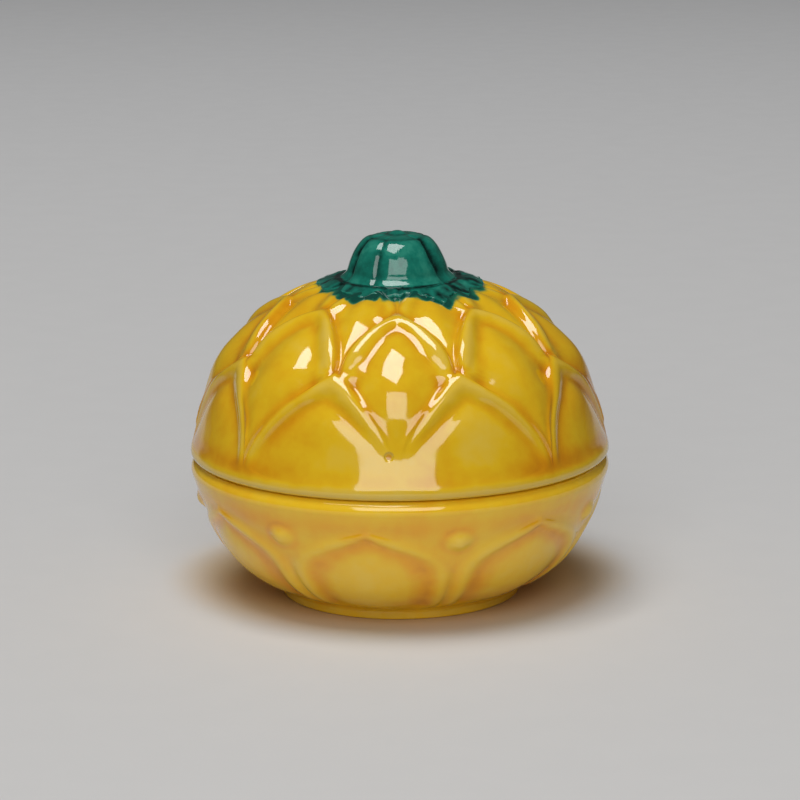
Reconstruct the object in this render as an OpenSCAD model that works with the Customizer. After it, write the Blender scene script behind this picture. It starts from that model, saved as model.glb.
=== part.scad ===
// Incense box of glazed clay, shaped like a bud in its petals.
// A dome lid with rows of pointed petals, a frilled calyx and a fluted stalk
// sits on a low bowl that has one row of petals and small beads between them.
// Millimetres. The foot stands on z = 0, the axis is z, the front faces -y.

/* [Body] */
// Widest diameter of the lid and of the base
body_d = 70; // [62:0.5:84]
// Height of the base, from the foot to the face that carries the lid
base_h = 23.6; // [20:0.1:30]
// Height of the lid, from that face to its crown
lid_h = 30; // [26:0.1:38]
// Thickness of the clay wall
wall = 3.6; // [2.8:0.1:4.4]
// Roll-in of the two edges that meet at the seam
edge_in = 0.5; // [0.2:0.05:0.9]
// Height over which each of these edges rolls in
edge_h = 1.5; // [0.8:0.1:2.2]

/* [Lid curve] */
// Inset of the flank's control point from the widest diameter
lid_flank_in = 3.4; // [1:0.1:6]
// Height of the flank's control point over the seam
lid_flank_h = 10.2; // [6:0.1:14]
// Inset of the shoulder's control point from the widest diameter
lid_shoulder_in = 4.0; // [1:0.1:8]
// Height of the shoulder's control point over the seam
lid_shoulder_h = 22.2; // [18:0.1:25]
// Drop from the crown to the ring around the calyx
crown_drop = 2.1; // [1:0.1:3.5]

/* [Base curve] */
// Inset of the belly's control point from the widest diameter
base_belly_in = 5.2; // [3:0.1:9]
// Height of the belly's control point over the ground
base_belly_h = 6.3; // [4:0.1:8]
// Inset of the flank's control point from the widest diameter
base_flank_in = 3.6; // [1:0.1:6]
// Height of the flank's control point over the ground
base_flank_h = 10.2; // [8:0.1:14]
// Thickness of the bowl's floor
floor_t = 3.4; // [2.4:0.1:5]

/* [Foot] */
// Outer diameter of the foot ring
foot_d = 40.0; // [34:0.2:48]
// Height of the foot ring
foot_h = 1.6; // [1:0.1:3]
// Width of the foot ring's standing face
foot_w = 3.4; // [2.4:0.1:6]

/* [Seat] */
// Width of the face that carries the lid
seat_w = 2.6; // [2.2:0.1:3.4]
// Thickness of the upright flange inside the rim
flange_t = 1.9; // [1.4:0.1:2.6]
// Height of the flange above the seat face
flange_h = 3.2; // [2:0.1:5]
// Depth to which the flange is bedded below the seat face
flange_bed = 4.0; // [2.5:0.1:6]
// Clearance all round between the flange and the lid
seat_gap = 0.4; // [0.3:0.05:0.8]
// Clearance between the top of the flange and the lid
flange_gap = 0.6; // [0.4:0.05:1.2]

/* [Petals] */
// Number of petals in each row of the lid
lid_petals = 8; // [6:1:10]
// Number of petals around the base
base_petals = 7; // [6:1:9]
// Turn of the base petals about the axis, in degrees
base_turn = -9.4; // [-25:0.1:25]
// Width of the raised rim of a petal, at its foot
rim_w = 2.3; // [1.6:0.1:3]
// Height of the raised rim over the petal's face
rim_rise = 0.4; // [0.1:0.05:0.6]
// Depth of the groove inside the rim
groove_d = 0.35; // [0.1:0.05:0.5]
// Rise of the petal's middle over its face
petal_rise = 0.3; // [0:0.05:0.6]
// Height of the ridge along the upper petals, over and under their face
keel_rise = 0.4; // [0:0.05:0.6]
// Step from a petal's edge down to the row behind it
step_d = 0.6; // [0.2:0.05:0.9]
// Width over which that step falls
step_w = 0.9; // [0.3:0.05:1.2]
// Distance over which the row behind comes back up
step_reach = 3; // [2:0.1:5]
// Diameter of the beads between the base petals
bead_d = 4.4; // [3:0.1:5.6]
// Height of a base bead over the bowl
bead_rise = 1.1; // [0.4:0.05:1.6]

/* [Calyx] */
// Mean diameter of the frilled calyx
calyx_d = 28.8; // [22:0.2:32]
// Thickness of the calyx
calyx_t = 0.6; // [0.4:0.05:1.2]
// Number of frill lobes
calyx_lobes = 14; // [8:1:20]
// Depth of the frill
frill = 1.6; // [0.4:0.1:2.4]
// Height of the ridge along each lobe
lobe_ridge = 0.35; // [0:0.05:0.6]
// Plain ring of the dome outside the calyx
calyx_margin = 1.2; // [0.8:0.1:2.5]

/* [Stalk] */
// Diameter of the stalk at its foot
stalk_d = 15.6; // [12:0.1:19]
// Height of the stalk over the calyx
stalk_h = 6.5; // [4:0.1:10]
// Number of flutes
flutes = 6; // [4:1:8]
// Depth of the flutes
flute_d = 0.9; // [0.3:0.05:1.4]
// Diameter of the nub on top
nub_d = 2.6; // [1.6:0.1:4]
// Height of the nub
nub_h = 0.5; // [0.2:0.05:1.2]

/* [Hidden] */
body_r = body_d / 2;
foot_r = foot_d / 2;
crown = base_h + lid_h;
stalk_r = stalk_d / 2;
stalk_seat_r = stalk_r + 0.2;
calyx_r = calyx_d / 2;
crown_r = calyx_r + frill / 2 + calyx_margin;
stalk_z = crown + calyx_t;
seat_r = body_r - edge_in - seat_w;
floor_z = foot_h + floor_t;
clay_yellow = [0.80, 0.60, 0.18];
clay_buff = [0.83, 0.76, 0.64];
glaze_green = [0.16, 0.36, 0.22];

// Control points of the two turned curves, each as [radius, height].
lid_curve = [
    [body_r, base_h + edge_h],
    [body_r - lid_flank_in, base_h + lid_flank_h],
    [body_r - lid_shoulder_in, base_h + lid_shoulder_h],
    [crown_r, crown - crown_drop]
];
base_curve = [
    [foot_r, foot_h],
    [body_r - base_belly_in, base_belly_h],
    [body_r - base_flank_in, base_flank_h],
    [body_r, base_h - edge_h]
];

// Levels, as shares of a curve's height, where outlines of the petals begin and end.
row_1_foot = 0.072;
row_1_tip = 0.67;
panel_1_foot = 0.034;
panel_1_tip = 0.515;
row_2_foot = 0.678;
row_2_tip = 0.966;
panel_2_foot = 0.489;
panel_2_tip = 0.898;
base_foot = 0.385;
base_tip = 0.82;
base_panel_foot = 0.312;
base_panel_tip = 0.746;
bead_level = 0.737;

// Point, direction and outward normal of a curve at share t.
function on_curve(c, t) = pow(1 - t, 3) * c[0] + 3 * t * pow(1 - t, 2) * c[1]
    + 3 * t * t * (1 - t) * c[2] + pow(t, 3) * c[3];
function along(c, t) = 3 * pow(1 - t, 2) * (c[1] - c[0])
    + 6 * t * (1 - t) * (c[2] - c[1]) + 3 * t * t * (c[3] - c[2]);
function outward(c, t) = let (v = along(c, t)) [v[1], -v[0]] / norm(v);
function inner(c, t) = on_curve(c, t) - wall * outward(c, t);
function ease(a, b, v) = let (u = max(0, min(1, (v - a) / (b - a)))) u * u * (3 - 2 * u);

// Level of share t on a curve, and share of a level, found by halving.
function level(c, t) = (on_curve(c, t)[1] - c[0][1]) / (c[3][1] - c[0][1]);
function share_at(c, v, low = 0, high = 1, k = 16) =
    let (m = (low + high) / 2)
    k == 0 ? m : level(c, m) < v ? share_at(c, v, m, high, k - 1) : share_at(c, v, low, m, k - 1);

// Half of the spacing of n petals, in millimetres, at share t.
function half_w(c, t, n) = on_curve(c, t)[0] * PI / n;

// Half of a petal's width at level v, as a share of half its spacing, on a pointed arch.
function arch(v, foot, tip, broad, bend, point, flare) =
    let (u = (v - foot) / (tip - foot))
    u <= 0 ? broad * (1 - flare * u) : u >= 1 ? 0 : broad * pow(1 - pow(u, bend), point);

// Outlines of the petals and of the panels inside their rims, at share t.
tip_1 = share_at(lid_curve, row_1_tip);
inner_1 = share_at(lid_curve, panel_1_tip);
tip_2 = share_at(lid_curve, row_2_tip);
inner_2 = share_at(lid_curve, panel_2_tip);
tip_b = share_at(base_curve, base_tip);
inner_b = share_at(base_curve, base_panel_tip);
bead_at = share_at(base_curve, bead_level);
broad_1 = 1 - rim_w / half_w(lid_curve, 0.07, lid_petals);
broad_2 = 0.94 - rim_w / half_w(lid_curve, tip_1, lid_petals);
broad_b = 0.96 - 1.4 * rim_w / half_w(base_curve, 0.5, base_petals);
function row_1(t) = arch(level(lid_curve, t), row_1_foot, row_1_tip, 1, 1.9, 0.86, 0.6);
function panel_1(t) = arch(level(lid_curve, t), panel_1_foot, panel_1_tip, broad_1, 1.9, 0.76, 0);
function row_2(t) = arch(level(lid_curve, t), row_2_foot, row_2_tip, 0.94, 2.4, 0.62, 0.1);
function panel_2(t) = arch(level(lid_curve, t), panel_2_foot, panel_2_tip, broad_2, 1.7, 0.55, 0);
function base_row(t) = arch(level(base_curve, t), base_foot, base_tip, 0.96, 2.6, 1.08, 0);
function base_panel(t) = arch(level(base_curve, t), base_panel_foot, base_panel_tip, broad_b, 2.6, 1.25, 0);

// Slant of an outline between widths a and b: how much nearer it lies to a point
// beside it than a level measure says.
function slant(c, t, a, b, half) =
    let (run = norm(on_curve(c, t + 0.01) - on_curve(c, t - 0.01)))
    max(0.3, run / norm([run, (a - b) * half]));

// Distance inside an outline of half width w at share t, for a point that lies x from
// the petal's axis. Past the tip it is the distance beyond the tip.
function inside(c, x, t, tip, w, slope, half) =
    t >= tip ? -norm([0.55 * x * half, norm(on_curve(c, t) - on_curve(c, tip))])
        : (w - x) * half * (x > w ? max(slope, 0.55) : slope);
function in_row_1(x, t, half) = inside(lid_curve, x, t, tip_1, row_1(t),
    slant(lid_curve, t, row_1(t + 0.01), row_1(t - 0.01), half), half);
function in_panel_1(x, t, half) = inside(lid_curve, x, t, inner_1, panel_1(t),
    slant(lid_curve, t, panel_1(t + 0.01), panel_1(t - 0.01), half), half);
function in_row_2(x, t, half) = inside(lid_curve, x, t, tip_2, row_2(t),
    slant(lid_curve, t, row_2(t + 0.01), row_2(t - 0.01), half), half);
function in_panel_2(x, t, half) = inside(lid_curve, x, t, inner_2, panel_2(t),
    slant(lid_curve, t, panel_2(t + 0.01), panel_2(t - 0.01), half), half);
function in_base(x, t, half) = inside(base_curve, x, t, tip_b, base_row(t),
    slant(base_curve, t, base_row(t + 0.01), base_row(t - 0.01), half), half);
function in_base_panel(x, t, half) = inside(base_curve, x, t, inner_b, base_panel(t),
    slant(base_curve, t, base_panel(t + 0.01), base_panel(t - 0.01), half), half);

// Height of a petal over the turned curve, d inside its edge and e inside its panel,
// and of what lies behind the petal, d outside its edge.
function petal_face(d, e) = e < 0
    ? lookup(d / (d - e), [[0, 0], [0.42, rim_rise], [1, -groove_d]])
    : lookup(e, [[0, -groove_d], [0.6 * rim_w, 0.2 * petal_rise], [3 * rim_w, petal_rise]]);
function keel(s, e) = ease(0, rim_w, e) * lookup(s, [[0, keel_rise], [2.4 * rim_w, -keel_rise]]);
function behind(d) = -step_d * (0.15 + 0.85 * exp(d / step_reach)) * ease(0, step_w, -d);

// Relief of the lid. x runs from 0 on the axis of a first-row petal to 1 on the
// axis of a second-row petal.
function lid_relief(x, t) =
    let (half = half_w(lid_curve, t, lid_petals), v = level(lid_curve, t),
         a = in_row_1(x, t, half), b = in_row_2(1 - x, t, half), e = in_panel_2(1 - x, t, half),
         fade = ease(0, 0.1, v) * (1 - ease(row_2_tip, 1, v)))
    fade * (a >= 0 ? petal_face(a, in_panel_1(x, t, half))
        : b >= 0 ? petal_face(b, e) + keel((1 - x) * half, e) + behind(a) : behind(b) + behind(a));

// Relief of the base. x runs from 0 on a petal's axis to 1 midway to the next, where
// a bead sits.
function bead(x, t, half) =
    let (away = norm([(1 - x) * half, norm(on_curve(base_curve, t) - on_curve(base_curve, bead_at))]))
    bead_rise * sqrt(max(0, 1 - pow(away / bead_d * 2, 2)));
function base_relief(x, t) =
    let (half = half_w(base_curve, t, base_petals), v = level(base_curve, t), d = in_base(x, t, half),
         fade = ease(0, 0.08, v) * (1 - ease(base_tip + 0.01, base_tip + 0.08, v)))
    fade * (d >= 0 ? petal_face(d, in_base_panel(x, t, half)) : behind(d)) + bead(x, t, half);

// Places of the mesh lines between two axes, gathered at the petal edge: the panel, the
// rim, the step beside it and what lies behind.
function spread(edge, panel, half, far) =
    let (e = max(0.05, min(0.97, edge)), groove = min(max(panel, 0.35 * e), 0.85 * e),
         flat = max(groove - 0.6 * rim_w / half, 0.5 * groove), low = e + min(step_w / half, 0.4 * (1 - e)))
    [0, 0.5 * flat, flat, groove, groove + 0.58 * (e - groove), e, low,
     max((2 * low + 1) / 3, 1 - far), max((low + 2) / 3, 1 - far / 2)];
function lid_places(t) =
    let (half = half_w(lid_curve, t, lid_petals))
    t < tip_1 + 0.02 ? spread(row_1(t), panel_1(t), half, 1)
        : let (e = t < tip_2 ? row_2(t) : 0.05 + 0.3 * (t - tip_2) / (1 - tip_2),
               s = spread(e, panel_2(t), half, 1))
          [0, for (k = [fold - 1:-1:1]) 1 - s[k]];
function base_places(t) =
    let (half = half_w(base_curve, t, base_petals),
         e = t < tip_b ? base_row(t) : 0.05 + 0.55 * (t - tip_b) / (1 - tip_b))
    spread(e, base_panel(t), half, bead_d / 2 / half);

// One ring of a petalled skin. Mesh lines run out from a petal's axis and back to the
// next one.
fold = 9;
function whole(places) = [each places, 1, for (k = [fold - 1:-1:1]) places[k]];
function ring_angles(places, n, turn) = let (w = whole(places)) [
    for (i = [0:n - 1]) for (k = [0:2 * fold - 1])
        -90 + turn + 360 / n * (i + (k <= fold ? w[k] / 2 : 1 - w[k] / 2))
];
function lid_ring(t) =
    let (p = lid_places(t), c = on_curve(lid_curve, t), o = outward(lid_curve, t),
         q = [for (x = whole(p)) c + lid_relief(x, t) * o],
         a = ring_angles(p, lid_petals, 180 / lid_petals))
    [for (k = [0:len(a) - 1]) let (v = q[k % (2 * fold)]) rounded(v[0], a[k], v[1])];
function base_ring(t) =
    let (p = base_places(t), c = on_curve(base_curve, t), o = outward(base_curve, t),
         q = [for (x = whole(p)) c + base_relief(x, t) * o],
         a = ring_angles(p, base_petals, base_turn))
    [for (k = [0:len(a) - 1]) let (v = q[k % (2 * fold)]) rounded(v[0], a[k], v[1])];
function even_angles(n) = [for (k = [0:n - 1]) -90 + 180 / lid_petals + 360 * k / n];
function rounded(r, a, z) = [r * cos(a), r * sin(a), z];

// Closed skin over rings of equal length, with flat ends.
module skin(rings) {
    n = len(rings[0]);
    m = len(rings);
    points = [
        for (ring = rings) for (p = ring) p,
        [0, 0, rings[0][0][2]], [0, 0, rings[m - 1][0][2]]
    ];
    sides = [
        for (j = [0:m - 2]) for (k = [0:n - 1])
            let (a = j * n + k, b = j * n + (k + 1) % n, c = b + n, d = a + n)
            each (k % (2 * fold) < fold ? [[a, d, c], [a, c, b]] : [[a, d, b], [b, d, c]])
    ];
    ends = [
        for (k = [0:n - 1])
            each [[m * n, k, (k + 1) % n], [m * n + 1, (m - 1) * n + (k + 1) % n, (m - 1) * n + k]]
    ];
    polyhedron(points = points, faces = concat(sides, ends), convexity = 8);
}

lid_steps = [
    for (k = [0, 0.12, 0.25, 0.39, 0.53, 0.67, 0.8, 0.91, 1]) k * inner_1,
    for (k = [0.25, 0.5, 0.72, 0.88, 1]) inner_1 + k * (tip_1 - inner_1),
    tip_1 + 0.02,
    for (k = [0.22, 0.42, 0.62, 0.82, 1]) tip_1 + k * (inner_2 - tip_1),
    for (k = [0.35, 0.65, 0.88, 1]) inner_2 + k * (tip_2 - inner_2),
    (tip_2 + 1) / 2
];
base_steps = [
    for (k = [0, 0.07, 0.15, 0.26, 0.39, 0.52, 0.63, 0.72, 0.79, 0.85, 0.9, 0.95, 1]) k * inner_b,
    for (k = [0.35, 0.7, 1]) inner_b + k * (tip_b - inner_b),
    for (k = [0.2, 0.45, 1]) tip_b + k * (1 - tip_b)
];
lid_n = 2 * fold * lid_petals;

module lid_skin() {
    skin([
        [for (a = ring_angles(lid_places(0), lid_petals, 180 / lid_petals))
            rounded(body_r - edge_in, a, base_h)],
        for (t = lid_steps) lid_ring(t),
        [for (a = even_angles(lid_n)) rounded(crown_r, a, crown - crown_drop)],
        [for (a = even_angles(lid_n)) rounded(stalk_seat_r, a, crown)]
    ]);
}

module base_skin() {
    skin([
        for (t = base_steps) base_ring(t),
        [for (a = ring_angles(base_places(1), base_petals, base_turn))
            rounded(body_r - edge_in, a, base_h)]
    ]);
}

// Foot ring luted under the bowl.
module foot_ring() {
    color(clay_buff)
        rotate_extrude($fn = 96)
            translate([foot_r - foot_w, 0])
                square([foot_w, foot_h]);
}

// Bowl with its petals and beads, hollowed and rebated for the flange.
module base_bowl() {
    color(clay_yellow)
        difference() {
            base_skin();
            rotate_extrude($fn = 96)
                intersection() {
                    polygon([
                        for (t = [0:0.125:1]) inner(base_curve, t),
                        [inner(base_curve, 1)[0], base_h + 1], [0, base_h + 1],
                        [0, inner(base_curve, 0)[1]]
                    ]);
                    translate([0, floor_z])
                        square([body_r, base_h]);
                }
            translate([0, 0, base_h - flange_bed])
                cylinder(r = seat_r, h = flange_bed + 1, $fn = 96);
        }
}

// Upright flange bedded in the bowl's rim, which keeps the lid in place.
module seat_flange() {
    color(clay_buff)
        translate([0, 0, base_h - flange_bed])
            rotate_extrude($fn = 96)
                translate([seat_r - flange_t, 0])
                    square([flange_t, flange_bed + flange_h]);
}

// Dome lid with its petals, hollowed and rebated over the flange.
module lid_dome() {
    color(clay_yellow)
        difference() {
            lid_skin();
            rotate_extrude($fn = 96)
                polygon([
                    [0, base_h - 1], [inner(lid_curve, 0)[0], base_h - 1],
                    for (t = [0.1:0.1:1]) inner(lid_curve, t),
                    [0, crown - wall]
                ]);
            translate([0, 0, base_h - 1])
                cylinder(r = seat_r + seat_gap, h = flange_h + flange_gap + 1, $fn = 96);
        }
}

// Frilled calyx on the crown of the dome.
function frill_r(a) = calyx_r + 0.5 * frill * (1 - 2 * abs(sin(calyx_lobes / 2 * a)))
    * (0.8 + 0.2 * sin(2 * a + 40));
function crown_z(r) = crown - max(0, r - stalk_seat_r) * crown_drop / (crown_r - stalk_seat_r);
function leaf_t(a, share) = calyx_t + lobe_ridge * share * abs(cos(calyx_lobes / 2 * a));
module calyx() {
    angles = even_angles(lid_n);
    color(glaze_green)
        skin([
            [for (a = angles) rounded(stalk_seat_r, a, crown)],
            [for (a = angles) rounded(frill_r(a), a, crown_z(frill_r(a)))],
            [for (a = angles) rounded(frill_r(a), a, crown_z(frill_r(a)) + 0.7 * calyx_t)],
            [for (a = angles) let (r = 0.92 * frill_r(a))
                rounded(r, a, crown_z(r) + leaf_t(a, 0.7))],
            [for (a = angles) let (r = (stalk_seat_r + 1.4 * frill_r(a)) / 2.4)
                rounded(r, a, crown_z(r) + leaf_t(a, 1))],
            [for (a = angles) rounded(stalk_seat_r, a, stalk_z)]
        ]);
}

// Fluted stalk with a small nub, for the fingers to lift the lid by.
function stalk_at(u) = stalk_r * (0.92 * pow(1 - pow(u, 4.5), 0.45) + 0.08 * pow(1 - u, 2));
function flute(a) = pow(1 - abs(sin(flutes / 2 * (a + 114))), 2);
module stalk_knob() {
    n = 2 * fold * flutes;
    angles = [for (k = [0:n - 1]) 360 * k / n];
    color(glaze_green)
        translate([0, 0, stalk_z])
            skin([
                for (u = [0, 0.1, 0.25, 0.42, 0.58, 0.72, 0.83, 0.91, 0.96])
                    [for (a = angles)
                        rounded(stalk_at(u) - flute_d * flute(a) * ease(-0.1, 0.3, u), a, stalk_h * u)],
                [for (a = angles)
                    rounded((stalk_at(0.96) + nub_d / 2) / 2, a, stalk_h * 0.985 - 0.3 * flute_d * flute(a))],
                [for (a = angles) rounded(nub_d / 2, a, stalk_h * 0.97)],
                [for (a = angles) rounded(0.46 * nub_d, a, stalk_h + 0.6 * nub_h)],
                [for (a = angles) rounded(0.28 * nub_d, a, stalk_h + nub_h)]
            ]);
}

foot_ring();
base_bowl();
seat_flange();
lid_dome();
calyx();
stalk_knob();
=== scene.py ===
"""Blender scene of a small glazed clay incense box.

A dome lid pressed with overlapping petals, with a green frilled calyx and a fluted stalk, sits on a
low bowl with one row of petals. Sizes are in millimetres in the classes and in metres in the meshes.
"""

import logging
import math
import random
from collections.abc import Callable, Iterable, Sequence
from dataclasses import dataclass
from enum import Enum, IntEnum

import bmesh
import bpy
from mathutils import Matrix, Vector, noise


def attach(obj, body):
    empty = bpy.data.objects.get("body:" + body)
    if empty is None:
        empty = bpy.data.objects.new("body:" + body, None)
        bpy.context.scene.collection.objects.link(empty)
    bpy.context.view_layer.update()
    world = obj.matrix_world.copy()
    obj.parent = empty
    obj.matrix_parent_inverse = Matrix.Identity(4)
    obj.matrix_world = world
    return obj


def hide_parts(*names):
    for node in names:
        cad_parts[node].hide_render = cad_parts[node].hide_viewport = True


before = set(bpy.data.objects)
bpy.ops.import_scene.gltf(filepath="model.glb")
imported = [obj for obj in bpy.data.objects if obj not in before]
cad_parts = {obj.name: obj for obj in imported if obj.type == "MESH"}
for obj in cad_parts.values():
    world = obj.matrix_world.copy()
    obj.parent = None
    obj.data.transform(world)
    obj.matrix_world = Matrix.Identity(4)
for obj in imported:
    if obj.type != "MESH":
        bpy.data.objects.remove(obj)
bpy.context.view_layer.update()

log = logging.getLogger("incense_box")

MM = 0.001
TURN = 2.0 * math.pi
# Metres within which vertices are joined
WELD = 1e-7
# Number of times that a search halves its span
HALVINGS = 24

Colour = tuple[float, float, float]
Keys = tuple[tuple[float, float], ...]
Pair = tuple[float, float]
Spot = tuple[float, float, float]
Socket = bpy.types.NodeSocket
Inputs = dict[str | int, object]


class Zone(IntEnum):
    """Stretches of a turned outline, each with its own shape and finish."""

    OUTER = 0
    EDGE = 1
    BARE = 2
    INNER = 3


class Body(Enum):
    """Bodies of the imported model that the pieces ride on."""

    BASE = "base"
    LID = "lid"


class Slot(Enum):
    """Names of the glazes and the clay."""

    YELLOW = "yellow_glaze"
    GREEN = "green_glaze"
    CLAY = "bare_clay"


# Small measures


def ease(low: float, high: float, value: float) -> float:
    """Smooth step from 0 at low to 1 at high, which may lie below low."""
    share = min(1.0, max(0.0, (value - low) / (high - low)))
    return share * share * (3.0 - 2.0 * share)


def bump(value: float, middle: float, width: float) -> float:
    """Bell of height 1 around middle, with the given width."""
    return math.exp(-(((value - middle) / width) ** 2))


def between(keys: Keys, value: float, soft: bool = True) -> float:
    """Reads a value off a list of keys, held level beyond the ends.

    Args:
        keys: Pairs of place and value, in rising order of place.
        value: Place to read at.
        soft: Eases between keys, so that each key is a crest or a dip; straight lines otherwise.

    Returns:
        The value there.
    """
    if value <= keys[0][0]:
        return keys[0][1]
    for (left, low), (right, high) in zip(keys, keys[1:]):
        if value <= right:
            share = (value - left) / (right - left)
            return low + (ease(0.0, 1.0, share) if soft else share) * (high - low)
    return keys[-1][1]


def turn_gap(first: float, second: float) -> float:
    """Smallest angle between two directions in degrees."""
    return abs((first - second + 180.0) % 360.0 - 180.0)


def held(depth: float) -> float:
    """Glaze depth held between -1, thin, and 1, deep."""
    return max(-1.0, min(1.0, depth))


def weighted(weights: Sequence[float], points: Sequence[Pair]) -> Pair:
    """Sum of points, each with its weight."""
    pairs = list(zip(weights, points))
    return sum(w * p[0] for w, p in pairs), sum(w * p[1] for w, p in pairs)


@dataclass(frozen=True)
class TurnedCurve:
    """Cubic curve that a wall is turned to.

    Attributes:
        points: Four control points, each a radius and a height in millimetres.
    """

    points: Keys

    def at(self, share: float) -> Pair:
        """Radius and height at a share of the way along the curve."""
        back = 1.0 - share
        return weighted((back**3, 3.0 * share * back**2, 3.0 * share**2 * back, share**3), self.points)

    def outward(self, share: float) -> Pair:
        """Outward normal of the wall.

        Args:
            share: Share of the way along the curve.

        Returns:
            Its parts away from the axis and upward.
        """
        back = 1.0 - share
        steps = [(b[0] - a[0], b[1] - a[1]) for a, b in zip(self.points, self.points[1:])]
        radial, upward = weighted((3.0 * back**2, 6.0 * share * back, 3.0 * share**2), steps)
        size = math.hypot(radial, upward)
        return upward / size, -radial / size

    def moved(self, share: float, lift: float) -> Pair:
        """Point so many millimetres outward from the wall along its normal, or inward below 0."""
        (radius, height), (across, upward) = self.at(share), self.outward(share)
        return radius + lift * across, height + lift * upward

    def run(self, start: float, end: float) -> float:
        """Straight distance between two shares of the curve."""
        (r0, z0), (r1, z1) = self.at(start), self.at(end)
        return math.hypot(r1 - r0, z1 - z0)

    def share_before(self, past: Callable[[float, float], bool]) -> float:
        """Share of the curve up to which a test fails, by halving.

        Args:
            past: Test of a radius and a height, true from some share on.

        Returns:
            The share.
        """
        low, high = 0.0, 1.0
        for _ in range(HALVINGS):
            middle = 0.5 * (low + high)
            if past(*self.at(middle)):
                high = middle
            else:
                low = middle
        return low

    def share_at(self, height: float) -> float:
        """Share of a rising curve at a height."""
        return self.share_before(lambda _, level: level >= height)

    def height_at(self, radius: float) -> float:
        """Height of a dome curve at a radius, which falls along the curve."""
        return self.at(self.share_before(lambda away, _: away <= radius))[1]


# Turned meshes


@dataclass(frozen=True)
class OutlinePoint:
    """One point of a turned outline.

    Attributes:
        radius: Distance from the axis in millimetres.
        height: Height over the ground in millimetres.
        zone: Stretch of the outline that the point belongs to.
        share: Share of the way along a curve, where the point lies on one.
    """

    radius: float
    height: float
    zone: Zone
    share: float = 0.0


def arc(centre: Pair, size: float, start: float, end: float, steps: int, zone: Zone) -> list[OutlinePoint]:
    """Points of a round edge in a turned outline.

    Args:
        centre: Radius and height of the arc's centre in millimetres.
        size: Radius of the arc in millimetres.
        start: Angle of the first point in degrees, 0 outward and 90 up.
        end: Angle of the last point in degrees.
        steps: Number of steps along the arc.
        zone: Stretch that the points belong to.

    Returns:
        The points in order.
    """
    angles = [math.radians(start + (end - start) * step / steps) for step in range(steps + 1)]
    return [
        OutlinePoint(centre[0] + size * math.cos(angle), centre[1] + size * math.sin(angle), zone)
        for angle in angles
    ]


def line(start: Pair, end: Pair, steps: int, zone: Zone) -> list[OutlinePoint]:
    """Points along a straight stretch of a turned outline, both ends included.

    Args:
        start: Radius and height of the first point in millimetres.
        end: Radius and height of the last point in millimetres.
        steps: Number of steps between them.
        zone: Stretch that the points belong to.

    Returns:
        The points in order.
    """
    parts = [step / steps for step in range(steps + 1)]
    return [
        OutlinePoint(start[0] + part * (end[0] - start[0]), start[1] + part * (end[1] - start[1]), zone)
        for part in parts
    ]


@dataclass(frozen=True)
class Marks:
    """Numbers that the vertices of a turned mesh carry.

    Attributes:
        zone: Stretch of the outline.
        level: Number of the outline's point.
        share: Share of the way along a curve.
        pool: Depth of the glaze, from -1, thin, to 1, deep; in a few places it also carries painted shade.
        green: Share of green glaze.
    """

    zone: bmesh.types.BMLayerItem
    level: bmesh.types.BMLayerItem
    share: bmesh.types.BMLayerItem
    pool: bmesh.types.BMLayerItem
    green: bmesh.types.BMLayerItem

    @classmethod
    def of(cls, mesh: bmesh.types.BMesh) -> "Marks":
        """Finds the numbers on a mesh."""
        whole, real = mesh.verts.layers.int, mesh.verts.layers.float
        return cls(whole["zone"], whole["level"], real["share"], real["pool"], real["green"])


def turned(outline: Sequence[OutlinePoint], columns: int) -> bmesh.types.BMesh:
    """Spins an outline once round the axis.

    Args:
        outline: Points in order; it is closed by the axis or by joining its ends.
        columns: Number of steps round the axis.

    Returns:
        A mesh whose vertices carry their marks. It starts at the front, on -y.
    """
    mesh = bmesh.new()
    for name in ("zone", "level"):
        mesh.verts.layers.int.new(name)
    for name in ("share", "pool", "green"):
        mesh.verts.layers.float.new(name)
    marks = Marks.of(mesh)
    corners = []
    for number, point in enumerate(outline):
        corner = mesh.verts.new((0.0, -point.radius * MM, point.height * MM))
        corner[marks.level] = number
        corner[marks.zone] = int(point.zone)
        corner[marks.share] = point.share
        corners.append(corner)
    edges = [mesh.edges.new(pair) for pair in zip(corners, corners[1:])]
    if outline[0].radius > 0.0:
        edges.append(mesh.edges.new((corners[-1], corners[0])))
    bmesh.ops.spin(
        mesh, geom=corners + edges, cent=(0.0, 0.0, 0.0), axis=(0.0, 0.0, 1.0),
        angle=TURN, steps=columns, use_merge=True,
    )
    bmesh.ops.remove_doubles(mesh, verts=mesh.verts[:], dist=WELD)
    bmesh.ops.recalc_face_normals(mesh, faces=mesh.faces[:])
    return mesh


def azimuth(corner: bmesh.types.BMVert) -> float:
    """Direction of a vertex round the axis in degrees: 0 in front, rising to the right."""
    return math.degrees(math.atan2(corner.co.x, -corner.co.y)) % 360.0


def place(corner: bmesh.types.BMVert, radius: float, direction: float, height: float) -> None:
    """Moves a vertex to a radius and height in millimetres and a direction in degrees."""
    angle = math.radians(direction)
    corner.co = Vector((radius * math.sin(angle), -radius * math.cos(angle), height)) * MM


def soften(mesh: bmesh.types.BMesh, times: int) -> None:
    """Smooths the outer faces a little, as a coat of glaze does.

    Args:
        mesh: Mesh to smooth.
        times: Number of passes.
    """
    zone = Marks.of(mesh).zone
    outer = [corner for corner in mesh.verts if corner[zone] == Zone.OUTER]
    for _ in range(times):
        bmesh.ops.smooth_vert(
            mesh, verts=outer, factor=0.5, use_axis_x=True, use_axis_y=True, use_axis_z=True
        )


def shown(name: str, data: bpy.types.ID) -> bpy.types.Object:
    """Adds an object to the scene.

    Args:
        name: Name of the object.
        data: Mesh, lamp or camera that it holds.

    Returns:
        The object.
    """
    holder = bpy.data.objects.new(name, data)
    bpy.context.scene.collection.objects.link(holder)
    return holder


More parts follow.
